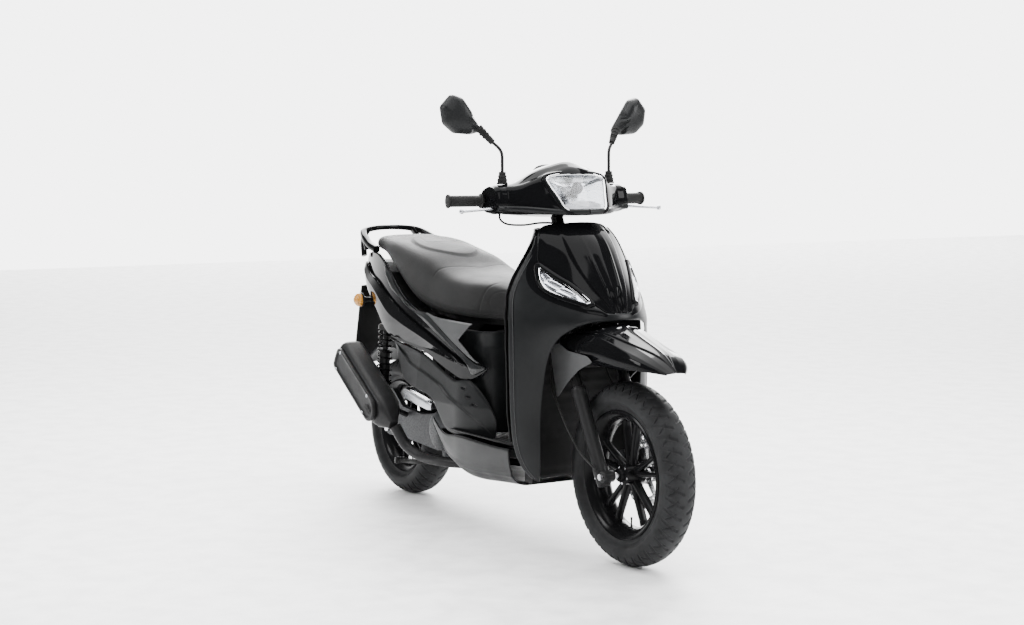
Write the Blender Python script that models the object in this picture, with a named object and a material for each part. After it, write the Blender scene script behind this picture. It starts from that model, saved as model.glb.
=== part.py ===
"""Moped scooter: a step-through 50 cc scooter with cast wheels, modelled as separate pieces.

Metres, +X forward, +Y to the rider's left, +Z up.  The origin is on the ground, midway
between the tips of the front tyre and the plate holder.  The scooter stands on its wheels
with the steering straight, the centre stand and the footrests folded and the seat shut.
"""

import math

import bmesh
import bpy
import numpy as np
from mathutils import Matrix, Vector

# ------------------------------------------------------------------ driving dimensions
GAP = 0.0003                 # clearance where two pieces rest on each other
SEAM = 0.0012                # visible gap between neighbouring body panels
RUNNING = 0.0006             # clearance between a pin or shaft and its bore
SKIN = 0.0035                # thickness of the moulded body panels

WHEELBASE = 1.335
FRONT_TYRE_R = 0.266
FRONT_TYRE_W = 0.110
REAR_TYRE_R = 0.2364
REAR_TYRE_W = 0.120
FRONT_FLANGE_R = 0.187       # outside of the rim's flange, where the tyre's bead sits
REAR_FLANGE_R = 0.160
RIM_WALL = 0.010
AXLE_R = 0.006
AXLE_BOSS = 0.019            # half length of the bosses on the fork legs
HUB_R = 0.030
TURN_STEPS = 28              # facets round a wheel

RAKE = math.radians(27.5)
STEER_X, STEER_Z = 0.31, 0.90    # a point on the steering axis
STEM_R = 0.0125
HEAD_TUBE_R = 0.024
HEAD_TUBE_LOW, HEAD_TUBE_HIGH = 0.525, 0.757
YOKE_LOW, YOKE_HIGH = 0.347, 0.385
YOKE_AHEAD, YOKE_HALF = 0.040, 0.105
LEG_Y = 0.085
LEG_R = 0.0215
STANCHION_R = 0.0150
LEG_TOP = 0.283
STANCHION_FOOT = 0.125
LEG_BORE_FOOT = 0.062

BAR_R = 0.011
BAR_Z = 1.040
BAR_TIP_X, BAR_TIP_Y = 0.209, 0.3425
BAR_KNEE_X, BAR_KNEE_Y = 0.2334, 0.165
GRIP_R = 0.0165
GRIP_FLANGE_R = 0.0215
GRIP_START_Y, GRIP_END_Y = 0.2400, 0.3465
LEVER_PIVOT = (0.262, 0.207, 1.022)
BUTTON_X, BUTTON_Y = 0.2098, 0.196    # root of the starter and horn buttons
BUTTON_R = 0.0055
BUTTON_TRAVEL = 0.003
LEVER_TIP = (0.301, 0.351, 1.013)
MIRROR_FOOT = (0.262, 0.190)
MIRROR_BEND_Z = 1.181
MIRROR_BALL = (0.238, 0.221, 1.221)
MIRROR_BALL_R = 0.0075
MIRROR_ROD_R = 0.0048
DIAL_CENTRE, DIAL_SIZE = (0.206, 0.0, 1.112), (0.084, 0.109, 0.038)
DIAL_TILT = 50.0             # degrees that the instruments lean toward the rider
DISC_R = 0.110
DISC_Y, DISC_T = 0.0500, 0.004

PIVOT = (-0.200, 0.0, 0.362)     # engine hanger
PIVOT_R = 0.008
SHOCK_TOP = (-0.600, -0.130, 0.630)
SHOCK_FOOT = (-0.640, -0.130, 0.360)
SHOCK_EYE_R = 0.016
SHOCK_PIN_R = 0.006
SHOCK_ROD_R = 0.010
SHOCK_SLACK = 0.0014          # room for the rod, which the swinging arm tilts a little
SPRING_R, SPRING_WALL = 0.027, 0.006
STAND_PIVOT = (-0.335, 0.0, 0.165)
STAND_TUBE_R = 0.0115
STAND_REACH = 0.200
PEG_PIVOT = (-0.335, 0.196)
SEAT_HINGE = (0.118, 0.0, 0.655)

ARM_Y = (-0.095, -0.075)         # inner and outer face of the right swing arm
CVT_Y = (0.074, 0.150)
MUFFLER_REAR = (-0.735, 0.497)   # (x, z) ends of the muffler's centre line
MUFFLER_FRONT = (-0.428, 0.302)
MUFFLER_Y = (-0.258, -0.166)
MUFFLER_H = 0.108
PLATE_TOP = (-0.868, 0.715)      # (x, z) of the plate holder's face
PLATE_FOOT = (-0.9335, 0.440)
PLATE_HALF_W = 0.095

FRONT_AXLE = Vector((WHEELBASE / 2, 0.0, FRONT_TYRE_R))
REAR_AXLE = Vector((-WHEELBASE / 2, 0.0, REAR_TYRE_R))
STEER_UP = Vector((-math.sin(RAKE), 0.0, math.cos(RAKE)))
STEER_AHEAD = Vector((math.cos(RAKE), 0.0, math.sin(RAKE)))
AXLE_AHEAD = (FRONT_AXLE - Vector((STEER_X, 0.0, STEER_Z))).dot(STEER_AHEAD)
STEER_FOOT = FRONT_AXLE - STEER_AHEAD * AXLE_AHEAD
DIAL_UP = Vector((-math.sin(math.radians(DIAL_TILT)), 0.0, math.cos(math.radians(DIAL_TILT))))
Y_AXIS = Vector((0.0, 1.0, 0.0))


def on_steer(along, ahead=0.0, side=0.0):
    """Give the point at a distance along, ahead of and beside the steering axis."""
    return STEER_FOOT + STEER_UP * along + STEER_AHEAD * ahead + Y_AXIS * side


# ------------------------------------------------------------------ finishes
PAINT = ("gloss_black", (0.006, 0.006, 0.007), 0.08, 0.0)
SATIN = ("satin_black", (0.018, 0.019, 0.020), 0.42, 0.0)
MATTE = ("matte_black", (0.020, 0.020, 0.021), 0.70, 0.0)
FRAME = ("frame_black", (0.012, 0.012, 0.012), 0.45, 0.0)
RUBBER = ("rubber", (0.016, 0.016, 0.016), 0.80, 0.0)
TYRE = ("tyre_rubber", (0.018, 0.018, 0.019), 0.75, 0.0)
WHEEL = ("wheel_black", (0.008, 0.008, 0.008), 0.25, 0.3)
STEEL = ("steel", (0.55, 0.55, 0.56), 0.30, 1.0)
ALLOY = ("aluminium", (0.70, 0.70, 0.72), 0.28, 1.0)
CASE = ("case_grey", (0.060, 0.060, 0.062), 0.50, 0.8)
CLEAR = ("clear_lens", (0.85, 0.87, 0.90), 0.06, 0.2)
AMBER = ("amber_lens", (0.80, 0.35, 0.04), 0.15, 0.0)
RED = ("red_lens", (0.45, 0.01, 0.01), 0.12, 0.0)
VINYL = ("seat_vinyl", (0.045, 0.045, 0.047), 0.62, 0.0)
MIRROR = ("mirror_silver", (0.85, 0.86, 0.88), 0.03, 1.0)


def finish_of(name, colour, roughness, metallic):
    """Make one Principled material."""
    made = bpy.data.materials.new(name)
    made.use_nodes = True
    shader = made.node_tree.nodes["Principled BSDF"]
    shader.inputs["Base Color"].default_value = (*colour, 1.0)
    shader.inputs["Roughness"].default_value = roughness
    shader.inputs["Metallic"].default_value = metallic
    return made


# ------------------------------------------------------------------ shapes
def tidy(bm):
    """Merge coincident points, split the caps and turn the faces outward."""
    bmesh.ops.remove_doubles(bm, verts=bm.verts[:], dist=1e-6)
    bmesh.ops.triangulate(bm, faces=[f for f in bm.faces if len(f.verts) > 4])
    bmesh.ops.recalc_face_normals(bm, faces=bm.faces[:])
    return bm


def facing(axis):
    """Give the rotation that turns +Z to the axis."""
    return Vector(axis).to_track_quat("Z", "Y").to_matrix().to_4x4()


def standing(axis):
    """Give the rotation that turns +Z to an axis square to Y, and leaves Y alone."""
    up = Vector(axis).normalized()
    across = Y_AXIS.cross(up)
    return Matrix((across, Y_AXIS, up)).transposed().to_4x4()


def rod(start, end, radius, end_radius=None, sides=10):
    """A round bar or cone between two points."""
    start, end = Vector(start), Vector(end)
    bm = bmesh.new()
    place = Matrix.Translation((start + end) / 2) @ facing(end - start)
    last = radius if end_radius is None else end_radius
    bmesh.ops.create_cone(bm, cap_ends=True, segments=sides, radius1=radius, radius2=last,
                          depth=(end - start).length, matrix=place)
    return bm


def ball(centre, radius, sides=10):
    """A round knob."""
    bm = bmesh.new()
    bmesh.ops.create_uvsphere(bm, u_segments=sides, v_segments=sides // 2 + 1, radius=radius,
                              matrix=Matrix.Translation(centre))
    return bm


def block(centre, size, turn=None):
    """A box of a size about a centre, turned by a matrix."""
    bm = bmesh.new()
    place = Matrix.Translation(centre) @ (turn or Matrix()) @ Matrix.Diagonal((*size, 1.0))
    bmesh.ops.create_cube(bm, size=1.0, matrix=place)
    return bm


def turned(profile, base, axis, steps=24, ring=False):
    """Spin a profile of (radius, height) about an axis; a ring's profile closes on itself."""
    bm = bmesh.new()
    points = [bm.verts.new((r, 0.0, h)) for r, h in profile]
    pairs = list(zip(points, points[1:])) + ([(points[-1], points[0])] if ring else [])
    edges = [bm.edges.new(pair) for pair in pairs]
    bmesh.ops.spin(bm, geom=points + edges, cent=(0, 0, 0), axis=(0, 0, 1), dvec=(0, 0, 0),
                   angle=math.tau, steps=steps, use_merge=False)
    bmesh.ops.remove_doubles(bm, verts=bm.verts[:], dist=1e-6)
    bmesh.ops.transform(bm, matrix=Matrix.Translation(base) @ facing(axis), verts=bm.verts[:])
    return tidy(bm)


def loft(sections, closed=False):
    """Skin rings that have the same number of points, and cap the two ends."""
    bm = bmesh.new()
    rings = [[bm.verts.new(p) for p in section] for section in sections]
    spans = list(zip(rings, rings[1:])) + ([(rings[-1], rings[0])] if closed else [])
    for low, high in spans:
        for i in range(len(low)):
            j = (i + 1) % len(low)
            bm.faces.new((low[i], low[j], high[j], high[i]))
    if not closed:
        bm.faces.new(rings[0])
        bm.faces.new(rings[-1])
    return tidy(bm)


def smooth_path(points, count):
    """Read points from a smooth curve through the given ones, evenly along its length."""
    p = np.array(points, dtype=float)
    p = np.vstack([2 * p[0] - p[1], p, 2 * p[-1] - p[-2]])
    fine = []
    for i in range(1, len(p) - 2):
        t = np.linspace(0, 1, 24, endpoint=False)[:, None]
        fine.append(0.5 * (2 * p[i] + (p[i + 1] - p[i - 1]) * t
                           + (2 * p[i - 1] - 5 * p[i] + 4 * p[i + 1] - p[i + 2]) * t ** 2
                           + (3 * p[i] - p[i - 1] - 3 * p[i + 1] + p[i + 2]) * t ** 3))
    fine = np.vstack(fine + [p[-2][None]])
    run = np.concatenate([[0], np.cumsum(np.linalg.norm(np.diff(fine, axis=0), axis=1))])
    even = np.linspace(0, run[-1], count)
    return [Vector([np.interp(s, run, fine[:, k]) for k in range(3)]) for s in even]


def pipe(points, radius, sides=10, count=None):
    """A round tube along a smooth path; radius may be one value or one for each end."""
    path = smooth_path(points, count or 4 * len(points))
    radii = np.linspace(*radius, len(path)) if isinstance(radius, tuple) else [radius] * len(path)
    tangents = [(path[min(i + 1, len(path) - 1)] - path[max(i - 1, 0)]).normalized()
                for i in range(len(path))]
    across = tangents[0].orthogonal().normalized()
    rings = []
    for point, tangent, r in zip(path, tangents, radii):
        across = (across - tangent * across.dot(tangent)).normalized()
        other = tangent.cross(across)
        rings.append([point + (across * math.cos(a) + other * math.sin(a)) * r
                      for a in np.linspace(0, math.tau, sides, endpoint=False)])
    return loft(rings)


def rounded(outline, radius, steps=3):
    """Round an outline's corners with arcs."""
    made = []
    count = len(outline)
    for i, corner in enumerate(outline):
        p = Vector(corner)
        before = Vector(outline[i - 1]) - p
        after = Vector(outline[(i + 1) % count]) - p
        reach = min(radius, before.length * 0.45, after.length * 0.45)
        a = p + before.normalized() * reach
        b = p + after.normalized() * reach
        for t in np.linspace(0, 1, steps + 1):
            made.append(tuple(a * (1 - t) ** 2 + p * 2 * t * (1 - t) + b * t ** 2))
    return made


def inset(outline, distance):
    """Move an outline's sides inward by a distance."""
    area = sum(a[0] * b[1] - b[0] * a[1] for a, b in zip(outline, outline[1:] + outline[:1]))
    turn = 1.0 if area > 0 else -1.0
    made = []
    for i, corner in enumerate(outline):
        p = Vector(corner)
        one = (p - Vector(outline[i - 1])).normalized()
        two = (Vector(outline[(i + 1) % len(outline)]) - p).normalized()
        n_one = Vector((-one.y, one.x)) * turn
        n_two = Vector((-two.y, two.x)) * turn
        half = (n_one + n_two).normalized()
        made.append(tuple(p + half * distance / max(half.dot(n_one), 0.35)))
    return made


def prism(outline, plane, low, high):
    """Extrude an outline across a plane ("xz", "yz" or "xy") between two heights."""
    bm = bmesh.new()
    spots = {"xz": lambda u, v: (u, low, v), "yz": lambda u, v: (low, u, v),
             "xy": lambda u, v: (u, v, low)}
    steps = {"xz": (0, high - low, 0), "yz": (high - low, 0, 0), "xy": (0, 0, high - low)}
    face = bm.faces.new([bm.verts.new(spots[plane](u, v)) for u, v in outline])
    made = bmesh.ops.extrude_face_region(bm, geom=[face], use_keep_orig=True)
    moved = [g for g in made["geom"] if isinstance(g, bmesh.types.BMVert)]
    bmesh.ops.translate(bm, vec=steps[plane], verts=moved)
    return tidy(bm)


def draped(outline, cuts_u, cuts_v, surface, depth):
    """Cut a flat outline into strips, lift it onto surface(u, v) and thicken it by depth."""
    bm = bmesh.new()
    face = bm.faces.new([bm.verts.new((u, v, 0.0)) for u, v in outline])
    bmesh.ops.triangulate(bm, faces=[face])
    for cuts, normal in ((cuts_u, Vector((1, 0, 0))), (cuts_v, Vector((0, 1, 0)))):
        for cut in cuts:
            geom = bm.verts[:] + bm.edges[:] + bm.faces[:]
            bmesh.ops.bisect_plane(bm, geom=geom, dist=0.0006, plane_co=normal * cut,
                                   plane_no=normal)
    bmesh.ops.dissolve_degenerate(bm, dist=1e-5, edges=bm.edges[:])
    for vert in bm.verts:
        vert.co = surface(vert.co.x, vert.co.y)
    made = bmesh.ops.extrude_face_region(bm, geom=bm.faces[:], use_keep_orig=True)
    moved = [g for g in made["geom"] if isinstance(g, bmesh.types.BMVert)]
    bmesh.ops.translate(bm, vec=depth, verts=moved)
    return tidy(bm)


def mirrored(bm):
    """Give the copy of a shape on the other side of the scooter."""
    made = bm.copy()
    bmesh.ops.scale(made, vec=(1, -1, 1), verts=made.verts[:])
    bmesh.ops.recalc_face_normals(made, faces=made.faces[:])
    return made


# ------------------------------------------------------------------ objects
def place(name, bm, finish, pivot=(0, 0, 0), crease=35):
    """Make one named object whose origin is on its joint's axis."""
    bmesh.ops.translate(bm, vec=-Vector(pivot), verts=bm.verts[:])
    mesh = bpy.data.meshes.new(name)
    bm.to_mesh(mesh)
    bm.free()
    mesh.shade_smooth()
    mesh.set_sharp_from_angle(angle=math.radians(crease))
    made = bpy.data.objects.new(name, mesh)
    made.location = pivot
    bpy.context.scene.collection.objects.link(made)
    mesh.materials.append(finish_of(f"{name}_{finish[0]}", *finish[1:]))
    return made


def tool(bm, label):
    """Make a hidden shape that a Boolean reads."""
    mesh = bpy.data.meshes.new(label)
    bm.to_mesh(mesh)
    bm.free()
    made = bpy.data.objects.new(label, mesh)
    made.hide_render = True
    made.display_type = "WIRE"
    bpy.context.scene.collection.objects.link(made)
    return made


def combine(target, shapes, operation, solver="EXACT"):
    """Add one Boolean for each shape."""
    for i, bm in enumerate(shapes):
        step = target.modifiers.new(f"{operation.lower()}_{i}", "BOOLEAN")
        step.operation = operation
        step.solver = solver
        step.object = tool(bm, f"{target.name}_{operation.lower()}_{i}")
    return target


def fuse(target, *shapes):
    """Join shapes to an object."""
    return combine(target, shapes, "UNION")


def cut(target, *shapes, solver="EXACT"):
    """Take shapes away from an object."""
    return combine(target, shapes, "DIFFERENCE", solver)


def thicken(target, thickness, offset=-1.0):
    """Give an open sheet a wall."""
    step = target.modifiers.new("wall", "SOLIDIFY")
    step.thickness = thickness
    step.offset = offset
    return target


def sheet(rows):
    """An open grid through rows of points."""
    bm = bmesh.new()
    grid = [[bm.verts.new(p) for p in row] for row in rows]
    for low, high in zip(grid, grid[1:]):
        for i in range(len(low) - 1):
            bm.faces.new((low[i], low[i + 1], high[i + 1], high[i]))
    return bm


def cord(name, points, radius, finish, count):
    """A cord along a smooth curve, with filled ends."""
    data = bpy.data.curves.new(name, "CURVE")
    data.dimensions = "3D"
    data.bevel_depth = radius
    data.bevel_resolution = 2
    data.use_fill_caps = True
    data.render_resolution_u = 0
    spline = data.splines.new("POLY")
    path = smooth_path(points, count)
    spline.points.add(len(path) - 1)
    for spot, point in zip(spline.points, path):
        spot.co = (*point, 1.0)
    data.materials.append(finish_of(f"{name}_{finish[0]}", *finish[1:]))
    made = bpy.data.objects.new(name, data)
    bpy.context.scene.collection.objects.link(made)
    return made


# ------------------------------------------------------------------ front body panels
SKIN_Y = (0.0, 0.05, 0.10, 0.15, 0.20, 0.25)
SKIN_LEVELS = (          # height, then how far forward the skin is at each half width
    (0.985, (0.385, 0.372, 0.335, 0.285, 0.220, 0.150)),
    (0.955, (0.435, 0.420, 0.385, 0.335, 0.270, 0.200)),
    (0.930, (0.468, 0.452, 0.415, 0.365, 0.305, 0.240)),
    (0.880, (0.508, 0.492, 0.455, 0.402, 0.345, 0.285)),
    (0.830, (0.540, 0.526, 0.490, 0.436, 0.372, 0.310)),
    (0.780, (0.572, 0.560, 0.527, 0.472, 0.405, 0.335)),
    (0.740, (0.598, 0.588, 0.556, 0.502, 0.432, 0.360)),
    (0.700, (0.612, 0.603, 0.575, 0.525, 0.450, 0.375)),
    (0.620, (0.560, 0.550, 0.530, 0.500, 0.455, 0.386)),
    (0.500, (0.540, 0.530, 0.510, 0.474, 0.446, 0.388)),
    (0.400, (0.530, 0.520, 0.500, 0.465, 0.440, 0.385)),
    (0.300, (0.530, 0.520, 0.500, 0.470, 0.437, 0.372)),
    (0.220, (0.530, 0.520, 0.500, 0.470, 0.420, 0.345)),
)
PANEL_SIDE = [(0.118, 0.960), (0.127, 0.948), (0.1395, 0.922), (0.152, 0.880), (0.155, 0.857)]
LAMP_UPPER = [(0.125, 0.821), (0.105, 0.8005), (0.078, 0.7635)]
LAMP_CORNER = (0.071, 0.750)
NOSE_SEAM = [(0.0575, 0.736), (0.040, 0.7245)]
NOSE_Z = 0.7235
LAMP_LOWER = [(0.161, 0.8545), (0.165, 0.835), (0.167, 0.8005), (0.153, 0.7795),
              (0.130, 0.764), (0.086, 0.7445)]
SHIELD_EDGE = [(0.138, 0.938), (0.155, 0.905), (0.180, 0.865), (0.208, 0.815), (0.230, 0.765),
               (0.241, 0.710), (0.244, 0.620), (0.243, 0.520), (0.240, 0.420), (0.232, 0.330),
               (0.214, 0.270), (0.190, 0.232), (0.176, 0.224)]
ARCH_EDGE = [(0.176, 0.300), (0.175, 0.400), (0.172, 0.500), (0.164, 0.600), (0.148, 0.655),
             (0.120, 0.685), (0.080, 0.699)]
ARCH_Z = 0.704
PANEL_TOP = [(0.100, 0.970), (0.060, 0.976)]
PANEL_TOP_Z = 0.979


def skin_x(y, z):
    """How far forward the front skin reaches at a half width and a height."""
    levels = sorted(SKIN_LEVELS)
    heights = [level[0] for level in levels]
    across = [np.interp(abs(y), SKIN_Y, level[1]) for level in levels]
    return float(np.interp(z, heights, across))


def both_sides(half, top, foot):
    """Close a half outline, listed from top to foot, with its mirror image."""
    return [top] + half + [foot] + [(-y, z) for y, z in reversed(half)]


def front_panels():
    """The leg shield, the nose panel set into it and the two lamps between them."""
    def on_skin(proud):
        return lambda y, z: (skin_x(y, z) + proud, y, z)

    cuts_y = [-0.20, -0.15, -0.10, -0.05, 0.0, 0.05, 0.10, 0.15, 0.20]
    cuts_z = [0.30, 0.50, 0.70, 0.74, 0.78, 0.83, 0.88, 0.93]
    wall = (-SKIN * 1.4, 0, 0)
    half_panel = PANEL_TOP + PANEL_SIDE + LAMP_UPPER + [LAMP_CORNER] + NOSE_SEAM
    panel = both_sides(half_panel, (0.0, PANEL_TOP_Z), (0.0, NOSE_Z))
    place("front_panel", draped(inset(panel, SEAM / 2), cuts_y, cuts_z, on_skin(0.0), wall), PAINT)

    outer = [PANEL_SIDE[0]] + SHIELD_EDGE + ARCH_EDGE
    inner = list(reversed(PANEL_SIDE + LAMP_LOWER + [LAMP_CORNER] + NOSE_SEAM))
    left = outer + [(0.0, ARCH_Z)]
    right = [(-y, z) for y, z in reversed(outer)]
    window = [(-y, z) for y, z in reversed(inner)] + [(0.0, NOSE_Z)] + inner[:-1]
    shield = left + right + window[1:]
    shape = draped(inset(shield, SEAM / 2), cuts_y, cuts_z, on_skin(0.0), wall)
    place("leg_shield", shape, SATIN)

    lamp = [PANEL_SIDE[-1]] + LAMP_UPPER + [LAMP_CORNER] + list(reversed(LAMP_LOWER))
    for side, name in ((1, "front_indicator_left"), (-1, "front_indicator_right")):
        outline = inset([(side * y, z) for y, z in lamp], SEAM / 2)
        shape = draped(outline, [side * 0.10, side * 0.13], [0.78, 0.81], on_skin(0.0),
                       (-0.022, 0, 0))
        place(name, shape, CLEAR)


def inner_shield_x(y, z):
    """The rider's side of the leg shield: a bulge over the head tube that meets the edge."""
    centre = np.interp(z, (0.335, 0.40, 0.50, 0.60, 0.70, 0.80, 0.90, 0.955),
                       (0.292, 0.278, 0.270, 0.266, 0.262, 0.256, 0.242, 0.228))
    edge_y = np.interp(z, (0.335, 0.42, 0.62, 0.71, 0.765, 0.815, 0.865, 0.905, 0.955),
                       (0.232, 0.240, 0.244, 0.241, 0.230, 0.208, 0.180, 0.155, 0.120))
    rim = skin_x(edge_y, z) - 0.030
    share = min(abs(y) / edge_y, 1.0)
    return float(centre + (rim - centre) * share ** 2.6)


def inner_shield():
    """The panel in front of the rider's knees."""
    edge = [(y - 0.003, z) for y, z in SHIELD_EDGE if z > 0.34]
    half = [(0.060, 0.957), (0.110, 0.955)] + edge + [(0.229, 0.336)]
    outline = [(-0.060, 0.957)] + half + [(-y, z) for y, z in reversed(half[1:])]
    cuts_y = [-0.21, -0.17, -0.12, -0.06, 0.0, 0.06, 0.12, 0.17, 0.21]
    cuts_z = [0.42, 0.60, 0.78, 0.90]
    shape = draped(outline, cuts_y, cuts_z, lambda y, z: (inner_shield_x(y, z), y, z),
                   (SKIN, 0, 0))
    place("inner_shield", shape, MATTE)


# ------------------------------------------------------------------ floor and underside
FLOOR_Z = 0.312
FLOOR_OUTLINE = [(0.352, 0.0), (0.352, 0.150), (0.340, 0.205), (0.300, 0.226), (0.100, 0.226),
                 (0.000, 0.222), (-0.022, 0.205), (-0.022, 0.0)]
WING_OUTLINE = [(-0.470, 0.556), (-0.405, 0.500), (-0.350, 0.440), (-0.150, 0.405),
                (-0.110, 0.370), (-0.060, 0.318), (0.000, 0.305), (0.150, 0.305),
                (0.152, 0.370), (0.120, 0.430), (0.058, 0.478), (-0.020, 0.4735),
                (-0.100, 0.495), (-0.250, 0.538)]


def wing_y(x, z):
    """Half width of the floor's rear side wings."""
    bow = 0.205 - 0.10 * max(z - 0.40, 0.0) + 0.03 * min(z - 0.40, 0.0)
    return float(bow - 0.018 * max(-x - 0.25, 0) / 0.22 - 2.4 * max(x, 0.0) ** 2)


def floorboard():
    """The foot well: a floor with a raised edge, and the wings that rise beside the seat."""
    def lifted(x, y):
        rise = 0.014 * max(0.0, (abs(y) - 0.175) / 0.050) ** 1.5
        return (x, y, FLOOR_Z + rise)

    half = FLOOR_OUTLINE[1:-1]
    outline = half + [(x, -y) for x, y in reversed(half)]
    cuts_y = [-0.205, -0.175, 0.175, 0.205]
    floor = draped(outline, [0.10], cuts_y, lifted, (0, 0, -0.005))
    board = place("floorboard", floor, MATTE)
    notch = block((0.324, 0, FLOOR_Z), (0.088, 0.046, 0.05))
    cuts_x = [-0.35, -0.25, -0.10, 0.0, 0.06, 0.11]
    wing = draped(WING_OUTLINE, cuts_x, [0.40],
                  lambda x, z: (x, wing_y(x, z), z), (0, -0.005, 0))
    fuse(board, wing.copy(), mirrored(wing))
    cut(board, notch)
    wing.free()


def belly_pan():
    """The trough below the floor, and the wall behind the front wheel."""
    stations = (     # x, half width at the rim, rim height, half width low, floor height
        (-0.170, 0.190, 0.340, 0.178, 0.300),
        (-0.080, 0.206, 0.306, 0.172, 0.228),
        (0.020, 0.218, 0.310, 0.168, 0.186),
        (0.200, 0.221, 0.310, 0.168, 0.186),
        (0.345, 0.219, 0.310, 0.164, 0.196),
    )
    rows = []
    for x, rim_y, rim_z, low_y, low_z in stations:
        half = [(rim_y, rim_z), (rim_y - 0.006, 0.5 * (rim_z + low_z)),
                (low_y + 0.020, low_z + 0.018), (low_y, low_z)]
        row = [(x, -y, z) for y, z in half] + [(x, y, z) for y, z in reversed(half)]
        rows.append(row)
    trough = place("belly_pan", sheet(rows), PAINT)
    thicken(trough, SKIN, -1.0)
    plan = [(0.425, -0.181), (0.385, -0.181), (0.366, -0.165), (0.360, -0.12), (0.358, 0.0),
            (0.360, 0.12), (0.366, 0.165), (0.385, 0.181), (0.425, 0.181)]
    outer = inset(plan + [(0.425, 0.30), (0.30, 0.30), (0.30, -0.30), (0.425, -0.30)], SKIN)
    band = plan + list(reversed(outer[:len(plan)]))
    liner = prism(band, "xy", 0.215, 0.600)
    foot = prism([(0.33, -0.16), (0.365, -0.16), (0.365, 0.16), (0.33, 0.16)], "xy", 0.190, 0.222)
    fuse(trough, foot, liner)
    cut(trough, block((-0.150, 0, 0.250), (0.330, 0.300, 0.300)))


# ------------------------------------------------------------------ seat area
SEAT_STATIONS = (    # x, half width, top height, edge height
    (-0.738, 0.070, 0.878, 0.862),
    (-0.715, 0.100, 0.892, 0.858),
    (-0.640, 0.128, 0.896, 0.848),
    (-0.550, 0.146, 0.892, 0.818),
    (-0.460, 0.154, 0.881, 0.762),
    (-0.370, 0.158, 0.866, 0.712),
    (-0.290, 0.160, 0.848, 0.688),
    (-0.225, 0.160, 0.824, 0.678),
    (-0.140, 0.158, 0.801, 0.672),
    (-0.050, 0.148, 0.790, 0.669),
    (0.040, 0.124, 0.783, 0.668),
    (0.100, 0.092, 0.768, 0.668),
    (0.132, 0.058, 0.738, 0.672),
    (0.142, 0.030, 0.712, 0.680),
)
BASE_DROP = 0.020


def seat():
    """The cushion and the moulded base under it, which hinges at its nose."""
    sections = []
    for x, half, top, edge in SEAT_STATIONS:
        tall = top - edge
        outline = [(0.0, edge), (0.80, edge), (0.96, edge + 0.10 * tall), (1.0, edge + 0.35 * tall),
                   (0.93, edge + 0.72 * tall), (0.74, edge + 0.93 * tall), (0.40, top - 0.002 * tall)]
        right = [(x, -half * s, z) for s, z in outline[1:]]
        left = [(x, half * s, z) for s, z in outline[1:]]
        sections.append([(x, 0, edge)] + left + [(x, 0, top)] + right[::-1])
    place("seat_cushion", loft(sections), VINYL, SEAT_HINGE)

    slabs = []
    for x, wide, _, edge in SEAT_STATIONS[1:-2]:
        half = wide - 0.028
        high = edge - GAP
        low = high - BASE_DROP * (0.6 if x < -0.6 else 1.0)
        slabs.append([(x, -half, high), (x, half, high), (x, half * 0.92, low), (x, -half * 0.92, low)])
    base = place("seat_base", loft(slabs), MATTE, SEAT_HINGE)
    x, _, z = SEAT_HINGE
    lug = prism([(0.070, 0.660), (x, z - 0.012), (x + 0.010, z), (x, z + 0.010), (0.085, 0.6665)],
                "xz", -0.020, 0.020)
    fuse(base, lug)
    cut(base, rod((x, -0.03, z), (x, 0.03, z), 0.0035 + RUNNING, sides=12))


PANEL_OUTLINE = [(-0.815, 0.790), (-0.795, 0.826), (-0.730, 0.842), (-0.640, 0.836),
                 (-0.560, 0.806), (-0.460, 0.744), (-0.370, 0.698), (-0.290, 0.676),
                 (-0.140, 0.662), (0.075, 0.658), (0.000, 0.602), (0.112, 0.537),
                 (0.150, 0.530), (0.154, 0.520), (0.056, 0.484), (-0.020, 0.479),
                 (-0.100, 0.5005), (-0.250, 0.543), (-0.470, 0.562), (-0.500, 0.578),
                 (-0.600, 0.640), (-0.680, 0.680), (-0.765, 0.720), (-0.805, 0.755)]


def side_y(x, z):
    """Half width of the side panels."""
    wide = np.interp(x, (-0.82, -0.76, -0.68, -0.55, -0.40, -0.20, 0.02, 0.16),
                     (0.110, 0.130, 0.150, 0.172, 0.186, 0.194, 0.194, 0.186))
    return float(wide - 0.06 * max(z - 0.62, 0.0) - 0.10 * max(0.56 - z, 0.0))


def side_panels():
    """The arrow-shaped panels below the seat."""
    cuts_x = [-0.76, -0.68, -0.55, -0.40, -0.20, 0.02]
    shape = draped(PANEL_OUTLINE, cuts_x, [0.56, 0.62, 0.72],
                   lambda x, z: (x, side_y(x, z), z), (0, -SKIN, 0))
    place("side_panel_right", mirrored(shape), PAINT)
    place("side_panel_left", shape, PAINT)


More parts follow.
